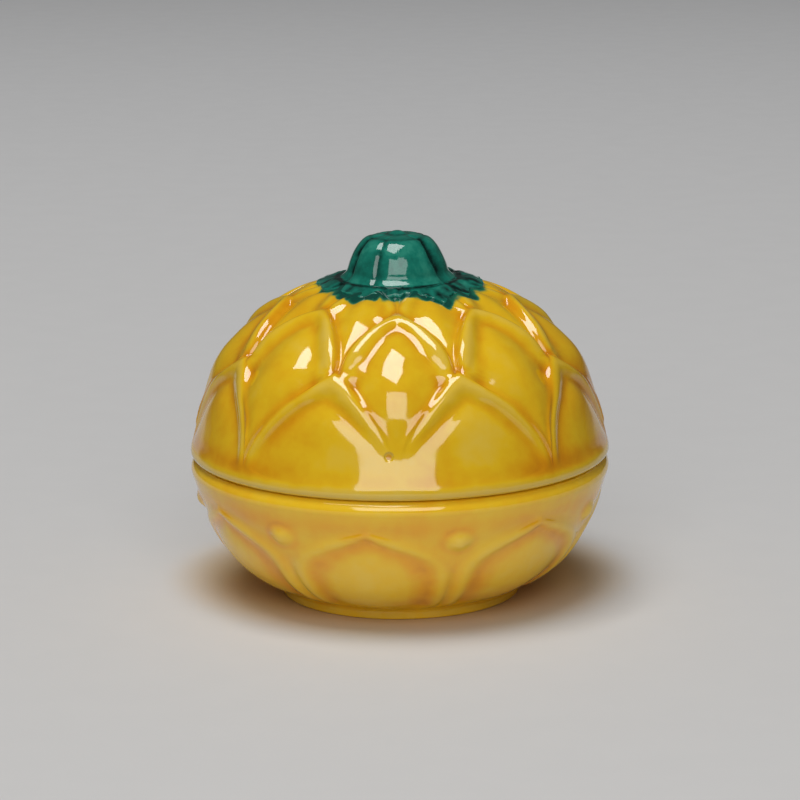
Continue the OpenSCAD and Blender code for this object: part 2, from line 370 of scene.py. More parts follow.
def finished(
    name: str, mesh: bmesh.types.BMesh, *materials: bpy.types.Material, crease: float = 50.0
) -> bpy.types.Object:
    """Makes an object of a mesh and gives its faces their materials.

    Args:
        name: Name of the piece.
        mesh: Mesh to use; it is freed.
        materials: Glaze first, and then bare clay where the piece has some.
        crease: Angle in degrees from which an edge stays sharp.

    Returns:
        The new object, linked to the scene.
    """
    zone = Marks.of(mesh).zone
    bare = len(materials) > 1
    for face in mesh.faces:
        face.smooth = True
        if bare and sum(corner[zone] == Zone.BARE for corner in face.verts) * 2 > len(face.verts):
            face.material_index = 1
    data = bpy.data.meshes.new(name)
    mesh.to_mesh(data)
    mesh.free()
    data.set_sharp_from_angle(angle=math.radians(crease))
    for material in materials:
        data.materials.append(material)
    return shown(name, data)


def settle(piece: bpy.types.Object, body: Body, slot: Slot, *nodes: str) -> None:
    """Ties a piece to its body, and lets it stand for its solids.

    Args:
        piece: Piece to tie.
        body: Body that it rides on.
        slot: Not used.
        nodes: Solids that it replaces.
    """
    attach(piece, body.value)
    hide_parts(*nodes)
    log.info("%s: %d faces, on %s", piece.name, len(piece.data.polygons), body.value)


# Finishes


class Graph:
    """Node tree of one material, with short ways to add and feed nodes."""

    def __init__(self, name: str) -> None:
        """Starts a material with nothing but its shader.

        Args:
            name: Name of the material.
        """
        self.material = bpy.data.materials.new(name)
        self.material.use_nodes = True
        self.tree = self.material.node_tree
        self.tree.nodes.clear()
        self.shader = self.add("ShaderNodeBsdfPrincipled", {})
        self.add("ShaderNodeOutputMaterial", {"Surface": self.shader.outputs["BSDF"]})

    def add(self, kind: str, inputs: Inputs, **settings: object) -> bpy.types.Node:
        """Adds a node.

        Args:
            kind: Type of the node.
            inputs: Sockets, numbers or colours, by the name or number of the input.
            settings: Properties to set, by name.

        Returns:
            The node.
        """
        node = self.tree.nodes.new(kind)
        for key, value in settings.items():
            setattr(node, key, value)
        self.feed(node, inputs)
        return node

    def feed(self, node: bpy.types.Node, inputs: Inputs) -> None:
        """Links sockets to a node's inputs, or sets the inputs to plain values.

        Args:
            node: Node to feed.
            inputs: Sockets, numbers or colours, by the name or number of the input.
        """
        for key, source in inputs.items():
            target = node.inputs[key]
            if isinstance(source, Socket):
                self.tree.links.new(source, target)
            else:
                target.default_value = (*source, 1.0) if target.type == "RGBA" else source

    def dress(self, inputs: Inputs) -> bpy.types.Material:
        """Feeds the shader and gives back the finished material."""
        self.feed(self.shader, inputs)
        return self.material

    def place(self) -> Socket:
        """Object coordinates in metres."""
        return self.add("ShaderNodeTexCoord", {}).outputs["Object"]

    def painted(self, name: str) -> Socket:
        """Number that the mesh carries under a name."""
        return self.add("ShaderNodeAttribute", {}, attribute_name=name).outputs["Fac"]

    def sum(self, kind: str, *terms: object) -> Socket:
        """Result of a math operation on sockets or numbers."""
        return self.add("ShaderNodeMath", dict(enumerate(terms)), operation=kind).outputs[0]

    def scaled(self, source: Socket, start: Pair, end: Pair) -> Socket:
        """Maps values from one range, low and high, to another, held at both ends."""
        inputs = dict(zip(("Value", "From Min", "From Max", "To Min", "To Max"), (source, *start, *end)))
        return self.add("ShaderNodeMapRange", inputs, interpolation_type="SMOOTHSTEP").outputs["Result"]

    def clouds(self, size: float, detail: float = 2.0, warp: float = 0.0) -> Socket:
        """Noise round 0.5 with features of a size in millimetres, finer layers and distortion."""
        inputs = {"Vector": self.place(), "Scale": 1.0 / (size * MM), "Detail": detail, "Distortion": warp}
        return self.add("ShaderNodeTexNoise", inputs).outputs["Fac"]

    def uneven(
        self, size: float, end: Pair, start: Pair = (0.3, 0.7), detail: float = 2.0, warp: float = 0.0
    ) -> Socket:
        """Noise of a size in millimetres whose range from start is mapped to end."""
        return self.scaled(self.clouds(size, detail, warp), start, end)

    def pooled(self, drift: Socket, mottle: Socket) -> Socket:
        """Depth of glaze that the mesh carries, 0 thin and 1 deep, with broad and fine changes."""
        depth = self.sum("MULTIPLY_ADD", self.painted("pool"), 0.5, 0.5)
        return self.sum("ADD", self.sum("ADD", depth, drift), mottle)

    def specks(self, scale: float, start: Pair, strength: float) -> Socket:
        """Round specks, so many to the metre, that fade between two shares of their spacing."""
        node = self.add("ShaderNodeTexVoronoi", {"Vector": self.place(), "Scale": scale}, feature="F1")
        return self.scaled(node.outputs["Distance"], start, (strength, 0.0))

    def ramp(self, source: object, stops: Sequence[tuple[float, Colour]]) -> Socket:
        """Colour read off a row of stops.

        Args:
            source: Values from 0 to 1.
            stops: Places and linear colours.

        Returns:
            The colour.
        """
        node = self.add("ShaderNodeValToRGB", {"Fac": source})
        row = node.color_ramp.elements
        while len(row) < len(stops):
            row.new(1.0)
        for stop, (spot, colour) in zip(row, stops):
            stop.position = spot
            stop.color = (*colour, 1.0)
        return node.outputs["Color"]

    def mixed(self, share: object, first: object, second: object) -> Socket:
        """Blend of two colours by the share of the second."""
        node = self.add("ShaderNodeMix", {"Factor": share, "A": first, "B": second}, data_type="RGBA")
        return next(socket for socket in node.outputs if socket.type == "RGBA")

    def raised(self, height: Socket, depth: float) -> Socket:
        """Normal of a surface raised by a height map of a depth in millimetres."""
        inputs = {"Strength": 1.0, "Distance": depth * MM, "Height": height}
        return self.add("ShaderNodeBump", inputs).outputs["Normal"]

    def near(self, spot: Spot) -> Socket:
        """Distance of the surface, in metres, from a spot given in millimetres."""
        inputs = {0: self.place(), 1: tuple(value * MM for value in spot)}
        return self.add("ShaderNodeVectorMath", inputs, operation="DISTANCE").outputs["Value"]


@dataclass(frozen=True)
class YellowGlaze:
    """Clear yellow lead glaze over pale clay, amber where it pools.

    Attributes:
        thin: Colour on sharp ridges and at the lid's edge.
        body: Colour on the open faces of the petals.
        pooled: Colour in grooves.
        deep: Colour where it lies deepest.
        tinge: Colour where a little green glaze has run onto it.
        green: Colour where much green glaze has run onto it.
        dark: Colour under the calyx's brush marks.
        bending: Refractive index.
    """

    thin: Colour = (0.74, 0.54, 0.10)
    body: Colour = (0.76, 0.47, 0.012)
    pooled: Colour = (0.68, 0.31, 0.005)
    deep: Colour = (0.52, 0.17, 0.003)
    tinge: Colour = (0.30, 0.33, 0.012)
    green: Colour = (0.012, 0.16, 0.085)
    dark: Colour = (0.003, 0.060, 0.042)
    bending: float = 1.66

    def make(self, name: str, pinholes: Sequence[Spot] = ()) -> bpy.types.Material:
        """Builds the glaze as a material.

        Args:
            name: Name of the material.
            pinholes: Places of small pits left by bubbles, in millimetres.

        Returns:
            The material.
        """
        graph = Graph(name)
        drift = graph.uneven(13.0, (-0.10, 0.10), start=(0.25, 0.75), detail=3.0, warp=0.6)
        depth = graph.pooled(drift, graph.uneven(2.2, (-0.035, 0.035)))
        stops = ((0.08, self.thin), (0.46, self.body), (0.74, self.pooled), (1.0, self.deep))
        colour = graph.ramp(depth, stops)
        few = graph.uneven(5.0, (0.0, 1.0), start=(0.56, 0.64))
        specks = graph.sum("MULTIPLY", graph.specks(260.0, (0.03, 0.05), 0.35), few)
        colour = graph.mixed(specks, colour, self.deep)
        frayed = graph.uneven(2.2, (-0.09, 0.09), detail=1.0)
        run = graph.sum("ADD", graph.painted("green"), frayed)
        greens = graph.ramp(run, ((0.25, self.tinge), (0.5, self.green), (0.85, self.dark)))
        colour = graph.mixed(graph.scaled(run, (0.12, 0.6), (0.0, 1.0)), colour, greens)
        waves = graph.uneven(5.5, (0.0, 1.0), start=(0.2, 0.8), detail=1.0)
        for spot in pinholes:
            away = graph.near(spot)
            colour = graph.mixed(graph.scaled(away, (0.0003, 0.0006), (0.7, 0.0)), colour, self.deep)
            waves = graph.sum("ADD", waves, graph.scaled(away, (0.00045, 0.0009), (-7.0, 0.0)))
        return graph.dress({
            "Base Color": colour,
            "Roughness": graph.uneven(1.4, (0.05, 0.085)),
            "Normal": graph.raised(waves, 0.035),
            "IOR": self.bending,
        })


@dataclass(frozen=True)
class GreenGlaze:
    """Copper green glaze, pale on ridges and near black where it pools.

    Attributes:
        thin: Colour on ridges and worn edges.
        body: Colour on the open faces.
        deep: Colour in flutes and folds.
        bending: Refractive index.
    """

    thin: Colour = (0.045, 0.30, 0.21)
    body: Colour = (0.008, 0.172, 0.122)
    deep: Colour = (0.001, 0.014, 0.011)
    bending: float = 1.58

    def make(self, name: str) -> bpy.types.Material:
        """Builds the glaze as a material.

        Args:
            name: Name of the material.

        Returns:
            The material.
        """
        graph = Graph(name)
        drift = graph.uneven(4.0, (-0.14, 0.14), start=(0.25, 0.75), detail=3.0, warp=0.8)
        depth = graph.pooled(drift, graph.uneven(0.8, (-0.06, 0.06)))
        return graph.dress({
            "Base Color": graph.ramp(depth, ((0.05, self.thin), (0.45, self.body), (0.95, self.deep))),
            "Roughness": graph.uneven(1.2, (0.05, 0.09)),
            "Normal": graph.raised(graph.clouds(2.4), 0.06),
            "IOR": self.bending,
        })


@dataclass(frozen=True)
class BareClay:
    """Pale fired clay that was wiped free of glaze.

    Attributes:
        light: Main colour.
        toast: Colour of warmer patches.
        iron: Colour of the small specks.
    """

    light: Colour = (0.68, 0.57, 0.42)
    toast: Colour = (0.56, 0.42, 0.27)
    iron: Colour = (0.22, 0.13, 0.07)

    def make(self, name: str) -> bpy.types.Material:
        """Builds the clay as a material.

        Args:
            name: Name of the material.

        Returns:
            The material.
        """
        graph = Graph(name)
        patches = graph.uneven(7.0, (0.0, 1.0), start=(0.35, 0.7), detail=4.0)
        colour = graph.mixed(patches, self.light, self.toast)
        grain = graph.sum("ADD", graph.clouds(0.35, 3.0), graph.clouds(2.0))
        return graph.dress({
            "Base Color": graph.mixed(graph.specks(620.0, (0.10, 0.17), 0.6), colour, self.iron),
            "Roughness": graph.uneven(1.0, (0.68, 0.85)),
            "Normal": graph.raised(grain, 0.10),
        })


@dataclass(frozen=True)
class PaperFloor:
    """Grey paper that the box stands on, with light and shade painted into it: paler behind, darker to the
    sides and warm under the box.

    Attributes:
        near: Colour in front of the box.
        far: Colour well behind it, paler as painted light that makes up for the lamps' falloff.
        aside: Colour well to the sides, darker as painted shade.
        warm: Colour under the box: painted warm light, as if bounced off the glaze into its shadow.
        fibre: Colour of the paper's fibres.
    """

    near: Colour = (0.615, 0.608, 0.60)
    far: Colour = (0.80, 0.80, 0.805)
    aside: Colour = (0.205, 0.2, 0.195)
    warm: Colour = (0.64, 0.46, 0.24)
    fibre: Colour = (0.5, 0.5, 0.5)

    def make(self, name: str) -> bpy.types.Material:
        """Builds the paper as a material.

        Args:
            name: Name of the material.

        Returns:
            The material.
        """
        graph = Graph(name)
        split = graph.add("ShaderNodeSeparateXYZ", {0: graph.place()}).outputs
        # Painted light: the paper grows paler behind, against the lamps' falloff.
        back = graph.scaled(split["Y"], (-0.15, 0.9), (0.0, 1.0))
        # Painted shade: the paper darkens towards the sides.
        edge = graph.scaled(graph.sum("ABSOLUTE", split["X"]), (0.16, 0.36), (0.0, 1.0))
        # Painted bounce light: a warm tint in the box's shadow, as if bounced off the glaze.
        under = graph.scaled(graph.near((0.0, 9.0, 0.0)), (0.026, 0.042), (1.0, 0.0))
        fibre = graph.uneven(9.0, (0.0, 0.05), detail=4.0)
        colour = graph.mixed(back, self.near, self.far)
        for share, tint in ((edge, self.aside), (under, self.warm), (fibre, self.fibre)):
            colour = graph.mixed(share, colour, tint)
        return graph.dress({"Base Color": colour, "Roughness": 0.75, "Specular IOR Level": 0.2})


# Petals


@dataclass(frozen=True)
class PetalEdge:
    """Outline of a petal up the wall, as half its width.

    Attributes:
        foot: Height where the arch begins, in millimetres.
        tip: Height of its point.
        broad: Half width at the foot, as a share of half the spacing.
        bend: How long the sides stay upright.
        point: How blunt the tip is; less is blunter.
        flare: How fast it widens below the foot.
    """

    foot: float
    tip: float
    broad: float
    bend: float
    point: float
    flare: float = 0.0

    def width(self, height: float) -> float:
        """Half width at a height.

        Args:
            height: Height over the ground in millimetres.

        Returns:
            A share of half the spacing, 0 from the tip on.
        """
        share = (height - self.foot) / (self.tip - self.foot)
        if share <= 0.0:
            return self.broad * (1.0 - self.flare * share)
        if share >= 1.0:
            return 0.0
        return self.broad * (1.0 - share**self.bend) ** self.point


# Place of a rim's crest between the petal's edge, at 0, and the panel's outline, at 1
CREST = 0.38
# Millimetres over which a panel rises to its middle
PANEL_SPAN = 8.0
# Millimetres by which a panel's tip is rounded
TIP_ROUND = 0.7
# Half width of a petal's roof and how far its ridge is rounded, in millimetres
ROOF_SPAN = 5.0
ROOF_ROUND = 0.6
# How fast the ground falls from a petal's edge
FALL_CURVE = 2.5
# Share of the fall's width from which the ground comes back up, and how far it does
RETURN_START = 0.6
RETURN_SHARE = 0.92
# Least slope with which distances outside a petal are measured
OUTSIDE_SLOPE = 0.55
# Share of a curve over which the slope of an outline is measured
SLOPE_STEP = 0.01


@dataclass(frozen=True)
class PetalFace:
    """Relief of a pressed petal and how the glaze lies on it.

    Attributes:
        rise: Height of the rim's crest in millimetres.
        groove: Depth of the groove inside the rim.
        bank: Height of the bank from the groove up to the panel.
        bank_wide: Width of that bank.
        step: Falls from the edge to what lies behind, at heights.
        fall: Width of that fall.
        reach: Distance over which the ground behind comes back up.
        edge_pool: Depth of glaze along the foot of the step.
        groove_pool: Depth of glaze in the groove.
        pool_wide: Width of the glaze pooled in the groove.
        belly: Rise of the panel's middle over the bank.
        keel: Side slope of the ridge along the middle of the panel.
        roof: Side slope of the whole petal from its axis.
    """

    rise: float
    groove: float
    bank: float
    bank_wide: float
    step: Keys
    fall: float
    reach: float
    edge_pool: float
    groove_pool: float
    pool_wide: float = 0.85
    belly: float = 0.0
    keel: float = 0.0
    roof: float = 0.0

    def height(self, outer: float, inner: float, aside: float) -> float:
        """Height over the turned wall.

        Args:
            outer: Distance inside the petal's edge in millimetres.
            inner: Distance inside the panel's outline, negative on the rim.
            aside: Distance from the petal's axis.

        Returns:
            Height in millimetres.
        """
        low = -self.groove - self.keel
        if inner < 0.0:
            across = outer / (outer - inner)
            if across < CREST:
                short = 1.0 - across / CREST
                return self.rise * (1.0 - short * short)
            return self.rise + (low - self.rise) * ease(CREST, 1.0, across)
        middle = 1.0 - min(1.0, inner / PANEL_SPAN)
        depth = inner - TIP_ROUND * math.exp(-aside / TIP_ROUND)
        bank = self.bank * ease(0.0, self.bank_wide, depth) + self.belly * (1.0 - middle * middle)
        ridge = self.keel * PANEL_SPAN * math.tanh(depth / PANEL_SPAN)
        return low + bank + ridge - self.roof * (math.hypot(min(aside, ROOF_SPAN), ROOF_ROUND) - ROOF_ROUND)

    def behind(self, outer: float, level: float) -> float:
        """Drop of the ground outside the edge.

        Args:
            outer: Distance inside the edge, negative here.
            level: Height over the ground in millimetres.

        Returns:
            A height of 0 or less in millimetres.
        """
        drop = 1.0 - (1.0 - min(1.0, -outer / self.fall)) ** FALL_CURVE
        start = RETURN_START * self.fall
        back = 1.0 - RETURN_SHARE * ease(start, start + self.reach, -outer)
        return -between(self.step, level, False) * drop * back

    def pool(self, outer: float, inner: float) -> float:
        """Depth of glaze.

        Args:
            outer: Distance inside the petal's edge in millimetres.
            inner: Distance inside the panel's outline.

        Returns:
            A number from -1, thin, to 1, deep.
        """
        if outer < 0.0:
            return self.edge_pool * bump(-outer, 0.35, 0.9)
        crest = 0.0
        if inner < 0.0:
            crest = bump(outer / (outer - inner), CREST, 0.26)
        groove = self.groove_pool * bump(inner, 0.1, self.pool_wide)
        return groove - 0.26 * crest + 0.95 * self.edge_pool * bump(outer, 0.0, 0.45)


@dataclass(frozen=True)
class EdgeCut:
    """One petal outline where it crosses a level of the wall.

    Attributes:
        width: Half width there, as a share of half the spacing.
        slope: How much nearer the outline lies than a level measure says.
        beyond: Distance past the tip in millimetres, 0 below it.
        half: Half of the petals' spacing in millimetres.
    """

    width: float
    slope: float
    beyond: float
    half: float

    def inside(self, beside: float) -> float:
        """Distance inside the outline.

        Args:
            beside: Place between the petal's axis, at 0, and half the spacing, at 1.

        Returns:
            Millimetres from the outline, negative outside.
        """
        if self.beyond > 0.0:
            return -math.hypot(OUTSIDE_SLOPE * beside * self.half, self.beyond)
        slope = self.slope if beside <= self.width else max(self.slope, OUTSIDE_SLOPE)
        return (self.width - beside) * self.half * slope


@dataclass(frozen=True)
class PetalCut:
    """Outer and inner outline of one row of petals at a level of the wall."""

    outer: EdgeCut
    inner: EdgeCut

    def lines(self, fall: float) -> list[float]:
        """Places of the main mesh lines from this row's axis to the next, close at the edges.

        Args:
            fall: Width of the step outside the petals, in millimetres.

        Returns:
            Eight places from 0 to 1.
        """
        half = self.outer.half
        edge = max(0.05, min(0.93, self.outer.width))
        groove = min(max(self.inner.width, 0.35 * edge), 0.85 * edge)
        panel = max(groove - 1.4 / half, 0.5 * groove)
        crest = groove + (1.0 - CREST) * (edge - groove)
        low = edge + min(fall / half / max(self.outer.slope, 0.5), 0.5 * (1.0 - edge))
        return [0.0, panel, groove, crest, edge, low, 0.5 * (low + 1.0), 1.0]


@dataclass(frozen=True)
class PetalRow:
    """One row of petals on a turned wall.

    Attributes:
        count: Number of petals round the axis.
        outer: Outline of a petal.
        inner: Outline of the panel inside its rim.
        face: Relief of a petal.
    """

    count: int
    outer: PetalEdge
    inner: PetalEdge
    face: PetalFace

    def edge_cut(self, edge: PetalEdge, curve: TurnedCurve, share: float) -> EdgeCut:
        """Cuts one outline at a level of the wall.

        Args:
            edge: Outline to cut.
            curve: Curve of the wall.
            share: Share of that curve.

        Returns:
            The cut.
        """
        radius, height = curve.at(share)
        half = radius * math.pi / self.count
        below, above = share - SLOPE_STEP, share + SLOPE_STEP
        run = curve.run(below, above)
        side = edge.width(curve.at(above)[1]) - edge.width(curve.at(below)[1])
        slope = max(0.3, run / math.hypot(run, side * half))
        beyond = 0.0
        if height > edge.tip:
            beyond = curve.run(curve.share_at(edge.tip), share)
        return EdgeCut(edge.width(height), slope, beyond, half)

    def cut(self, curve: TurnedCurve, share: float) -> PetalCut:
        """Cuts both outlines at a share of the wall's curve."""
        return PetalCut(self.edge_cut(self.outer, curve, share), self.edge_cut(self.inner, curve, share))


@dataclass(frozen=True)
class MeshLines:
    """How the mesh lines of a wall close up at the petals' edges.

    Attributes:
        petals: Petals round the axis.
        stretches: Number of lines from each main line to the next.
        first: 0 where a petal's axis lies in front, 1 where a gap does.
        ends: Shares of the curve between which the lines close up.
    """

    petals: int
    stretches: tuple[int, ...]
    first: int
    ends: tuple[Pair, Pair]

    @property
    def columns(self) -> int:
        """Mesh columns round the axis."""
        return 2 * self.petals * sum(self.stretches)

    def closing(self, share: float) -> float:
        """How far the lines close up at a share of the curve: 0 for even spacing."""
        return ease(*self.ends[0], share) * (1.0 - ease(*self.ends[1], share))

    def along(self, places: Sequence[float], number: int, blend: float) -> float:
        """Place of one mesh line between two axes.

        Args:
            places: Places of the main lines.
            number: Number of the line.
            blend: 0 for even spacing and 1 for the main lines' spacing.

        Returns:
            Place from 0 to 1.
        """
        even = number / sum(self.stretches)
        passed = 0
        spot = 1.0
        for stretch, count in enumerate(self.stretches):
            if number < passed + count:
                part = (number - passed) / count
                spot = places[stretch] + part * (places[stretch + 1] - places[stretch])
                break
            passed += count
        return even + blend * (spot - even)

    def spot(self, corner: bmesh.types.BMVert, places: Sequence[float], blend: float) -> Pair:
        """New place of a vertex.

        Args:
            corner: Vertex of the evenly spun wall.
            places: Places of the main lines at its level.
            blend: How far the lines close up.

        Returns:
            Place from a petal's axis, at 0, to the next gap, at 1, and direction in degrees.
        """
        lines = sum(self.stretches)
        number = round(azimuth(corner) / 360.0 * self.columns) % self.columns
        cell, part = divmod(number, lines)
        rising = cell % 2 == self.first
        beside = self.along(places, part if rising else lines - part, blend)
        return beside, 180.0 / self.petals * (cell + beside if rising else cell + 1 - beside)


# Sub-assemblies

# Steps to a degree in which the calyx's edge is measured
EDGE_STEPS = 4
# Degrees beyond which a dab of glaze is left out of account
DAB_REACH = 15.0


@dataclass
class PetalLid:
    """Dome lid with three rows of petals and a rebate over the flange.

    Attributes:
        curve: Outer curve from the widest ring to the crown.
        seam: Height of the lid's seat face, a hair over the bowl's.
        wall: Thickness of the wall.
        rebate: Radius of the rebate.
        rebate_top: Height of the rebate's top.
        edge: Radius of the roll at the lower edge.
        crown: Rise of the crown over the end of the curve.
        inside: Share of the curve from which the inside follows it.
        lines: How its mesh lines close up.
        turn: Degrees by which the lid was set round on the bowl.
        drift: Degrees by which the petals crowd towards the front, at heights.
        feet: Share of the relief at heights low on the lid.
        front: Directions between which the relief low in front comes back.
        patches: Places where the glaze lies thinner or deeper: direction, height, both widths, depth; the
            deeper one on the far right flank is painted shade.
        rows_up: Mesh rows on the outer curve.
    """

    curve: TurnedCurve = TurnedCurve(((35.0, 25.2), (31.1, 35.2), (30.9, 49.4), (8.0, 53.45)))
    seam: float = 23.63
    wall: float = 3.6
    rebate: float = 32.3
    rebate_top: float = 27.4
    edge: float = 1.1
    crown: float = 0.5
    inside: float = 0.14
    lines: MeshLines = MeshLines(8, (5, 3, 5, 5, 5, 4, 3), 1, ((0.0, 0.05), (0.97, 1.0)))
    turn: float = -0.8
    drift: Keys = ((28.0, -1.8), (36.0, 0.0), (42.5, 4.6), (52.0, 4.4))
    feet: Keys = ((25.6, 0.0), (28.0, 0.5), (31.0, 0.85), (34.0, 1.0))
    front: Pair = (12.0, 34.0)
    # The third patch, deeper glaze on the far right flank, is painted shade; the other two are thinner
    # glaze.
    patches: tuple[tuple[float, float, float, float, float], ...] = (
        (24.0, 33.0, 10.0, 5.0, -0.45), (327.0, 43.0, 8.0, 4.0, -0.25), (80.0, 34.0, 18.0, 7.0, 0.45),
    )
    rows_up: int = 140

    def __post_init__(self) -> None:
        """Lays out the three rows of petals, from the lowest."""
        petals = self.lines.petals
        first = PetalFace(
            rise=0.4, groove=0.35, bank=0.45, bank_wide=3.5, step=((36.0, 0.65), (42.0, 0.45)),
            fall=1.0, reach=5.0, edge_pool=0.42, groove_pool=0.4, belly=0.25,
        )
        second = PetalFace(
            rise=0.4, groove=0.4, bank=0.8, bank_wide=6.0,
            step=((43.5, 0.8), (46.4, 1.15), (48.5, 0.85), (51.4, 0.0)),
            fall=0.85, reach=40.0, edge_pool=0.42, groove_pool=0.4, keel=0.13,
        )
        third = PetalFace(
            rise=0.15, groove=0.15, bank=0.3, bank_wide=2.0, step=((50.0, 0.3),),
            fall=0.9, reach=3.0, edge_pool=0.2, groove_pool=0.16, roof=0.24,
        )
        self.rows = (
            PetalRow(
                petals,
                PetalEdge(foot=27.0, tip=42.8, broad=1.0, bend=1.9, point=0.86, flare=0.6),
                PetalEdge(foot=26.0, tip=38.7, broad=0.83, bend=1.9, point=0.76),
                first,
            ),
            PetalRow(
                petals,
                PetalEdge(foot=43.0, tip=50.6, broad=0.94, bend=2.4, point=0.62, flare=0.1),
                PetalEdge(foot=38.0, tip=48.9, broad=0.72, bend=1.7, point=0.55),
                second,
            ),
            PetalRow(
                petals,
                PetalEdge(foot=50.8, tip=53.2, broad=0.96, bend=2.4, point=0.62, flare=0.1),
                PetalEdge(foot=49.2, tip=52.5, broad=0.75, bend=1.7, point=0.55),
                third,
            ),
        )

    def outline(self) -> list[OutlinePoint]:
        """Closed outline: crown, outside, edge, seat, rebate and inside.

        Returns:
            The points in order.
        """
        top = self.curve.at(1.0)
        points = []
        for part in (0.0, 0.25, 0.5, 0.75):
            height = top[1] + self.crown * (1.0 - part**2)
            points.append(OutlinePoint(top[0] * part, height, Zone.EDGE, 1.0))
        for k in range(self.rows_up + 1):
            share = 1.0 - k / self.rows_up
            points.append(OutlinePoint(*self.curve.at(share), Zone.OUTER, share))
        roll = self.curve.at(0.0)[0] - self.edge
        points += arc((roll, self.seam + self.edge), self.edge, 0.0, -84.0, 7, Zone.EDGE)
        points += line((roll - 0.25, self.seam), (self.rebate + 0.25, self.seam), 3, Zone.BARE)
        points += line((self.rebate, self.seam + 0.25), (self.rebate, self.rebate_top - 0.3), 4, Zone.BARE)
        start = self.curve.moved(self.inside, -self.wall)
        points += line((self.rebate - 0.3, self.rebate_top), (start[0] + 0.3, self.rebate_top), 2, Zone.BARE)
        for k in range(27):
            share = self.inside + (1.0 - self.inside) * k / 26
            points.append(OutlinePoint(*self.curve.moved(share, -self.wall), Zone.INNER))
        inner = self.curve.moved(1.0, -self.wall)
        for k in (1, 2, 3, 4):
            points.append(OutlinePoint(inner[0] * (1 - k / 4), inner[1] + 0.12 * k, Zone.INNER))
        return points

    def spot(self, direction: float, level: float) -> Spot:
        """Point of the outer wall.

        Args:
            direction: Degrees round the axis from the front.
            level: Height over the ground in millimetres.

        Returns:
            Place in millimetres.
        """
        radius = self.curve.at(self.curve.share_at(level))[0]
        angle = math.radians(direction)
        return (radius * math.sin(angle), -radius * math.cos(angle), level)

    def places(self, cuts: Sequence[PetalCut], height: float) -> list[float]:
        """Main mesh lines at a level.

        Args:
            cuts: The three rows at this level.
            height: Height of the level in millimetres.

        Returns:
            Places from a first-row axis, at 0, to a second-row axis, at 1.
        """
        first, second, third = (cut.lines(row.face.fall) for cut, row in zip(cuts, self.rows))
        tip, high_tip = (row.outer.tip for row in self.rows[:2])
        upper = ease(tip + 0.2, tip + 2.4, height)
        crown = ease(high_tip - 0.1, high_tip + 1.0, height)
        spots = []
        for low, middle, high in zip(first, reversed(second), third):
            spot = low + upper * (1.0 - middle - low)
            spots.append(spot + crown * (high - spot))
        return spots

    def relief(self, cuts: Sequence[PetalCut], beside: float, level: float) -> Pair:
        """Height of the petals over the turned wall, and depth of the glaze there.

        Args:
            cuts: The three rows at this level.
            beside: Place from a first-row axis, at 0, to a second-row axis, at 1.
            level: Height over the ground in millimetres.

        Returns:
            Height in millimetres and glaze depth from -1 to 1.
        """
        height = 0.0
        pool = 0.0
        for cut, row, spot in zip(cuts, self.rows, (beside, 1.0 - beside, beside)):
            outer = cut.outer.inside(spot)
            inner = cut.inner.inside(spot)
            pool += row.face.pool(outer, inner)
            if outer >= 0.0:
                height += row.face.height(outer, inner, spot * cut.outer.half)
                break
            height += row.face.behind(outer, level)
        return height, pool

    def glaze_run_and_painted_shade(self, beside: float, share: float, turn: float) -> float:
        """Glaze that has run down to the lower edge and thinned on the roll, with patches of thinner glaze
        and a patch of painted shade.

        Args:
            beside: Place from a first-row axis to a second-row axis.
            share: Share of the outer curve.
            turn: Degrees round the axis from the front.

        Returns:
            Depth to add to the glaze.
        """
        radius, height = self.curve.at(share)
        half = radius * math.pi / self.lines.petals
        away = turn_gap(turn, 0.0)
        feet = max(bump((1.0 - beside) * half, 0.0, 6.5), 0.7 * ease(38.0, 48.0, away))
        run = (0.14 + 0.5 * feet * ease(16.0, 40.0, away)) * bump(height, 26.9, 1.6)
        # Patches of thinner glaze, and of deeper glaze as painted shade on the far right flank.
        for toward, level, wide, tall, depth in self.patches:
            run += depth * bump(turn_gap(turn, toward), 0.0, wide) * bump(height, level, tall)
        return run - 0.45 * ease(26.2, 25.0, height)

    def shape(self, mesh: bmesh.types.BMesh, calyx: "Calyx") -> None:
        """Moves the outer vertices into petals and paints how the glaze lies, with painted shade on the far
        right flank.

        Args:
            mesh: Spun lid.
            calyx: Calyx, whose green glaze runs a little way onto the lid.
        """
        marks = Marks.of(mesh)
        known: dict[int, tuple[list[PetalCut], list[float]]] = {}
        for corner in mesh.verts:
            zone = corner[marks.zone]
            share = corner[marks.share]
            if zone != Zone.OUTER:
                corner[marks.pool] = {Zone.INNER: -0.1, Zone.EDGE: -0.5}.get(zone, 0.0)
                corner[marks.green] = 1.0 if zone == Zone.EDGE and share > 0.5 else 0.0
                continue
            radius, level = self.curve.at(share)
            if corner[marks.level] not in known:
                cuts = [row.cut(self.curve, share) for row in self.rows]
                known[corner[marks.level]] = (cuts, self.places(cuts, level))
            cuts, places = known[corner[marks.level]]
            closing = self.lines.closing(share)
            beside, turn = self.lines.spot(corner, places, closing)
            height, pool = self.relief(cuts, beside, level)
            front = 1.0 - ease(*self.front, turn_gap(turn, 0.0))
            fade = between(self.feet, level, False) * (1.0 - front * ease(37.0, 30.0, level))
            drift = between(self.drift, level)
            turn += (self.turn - drift * math.sin(math.radians(turn))) * closing
            spot = Vector((math.sin(math.radians(turn)), math.cos(math.radians(turn)), 0.0)) * radius
            spot.z = level
            lift = (height * fade + 0.1 * noise.noise(spot * 0.11)) * closing
            away, high = self.curve.moved(share, lift)
            place(corner, away, turn, high)
            pool *= fade * (1.0 - front * ease(35.5, 31.0, level))
            corner[marks.pool] = held(pool + self.glaze_run_and_painted_shade(beside, share, turn))
            corner[marks.green] = calyx.paint(radius, turn)

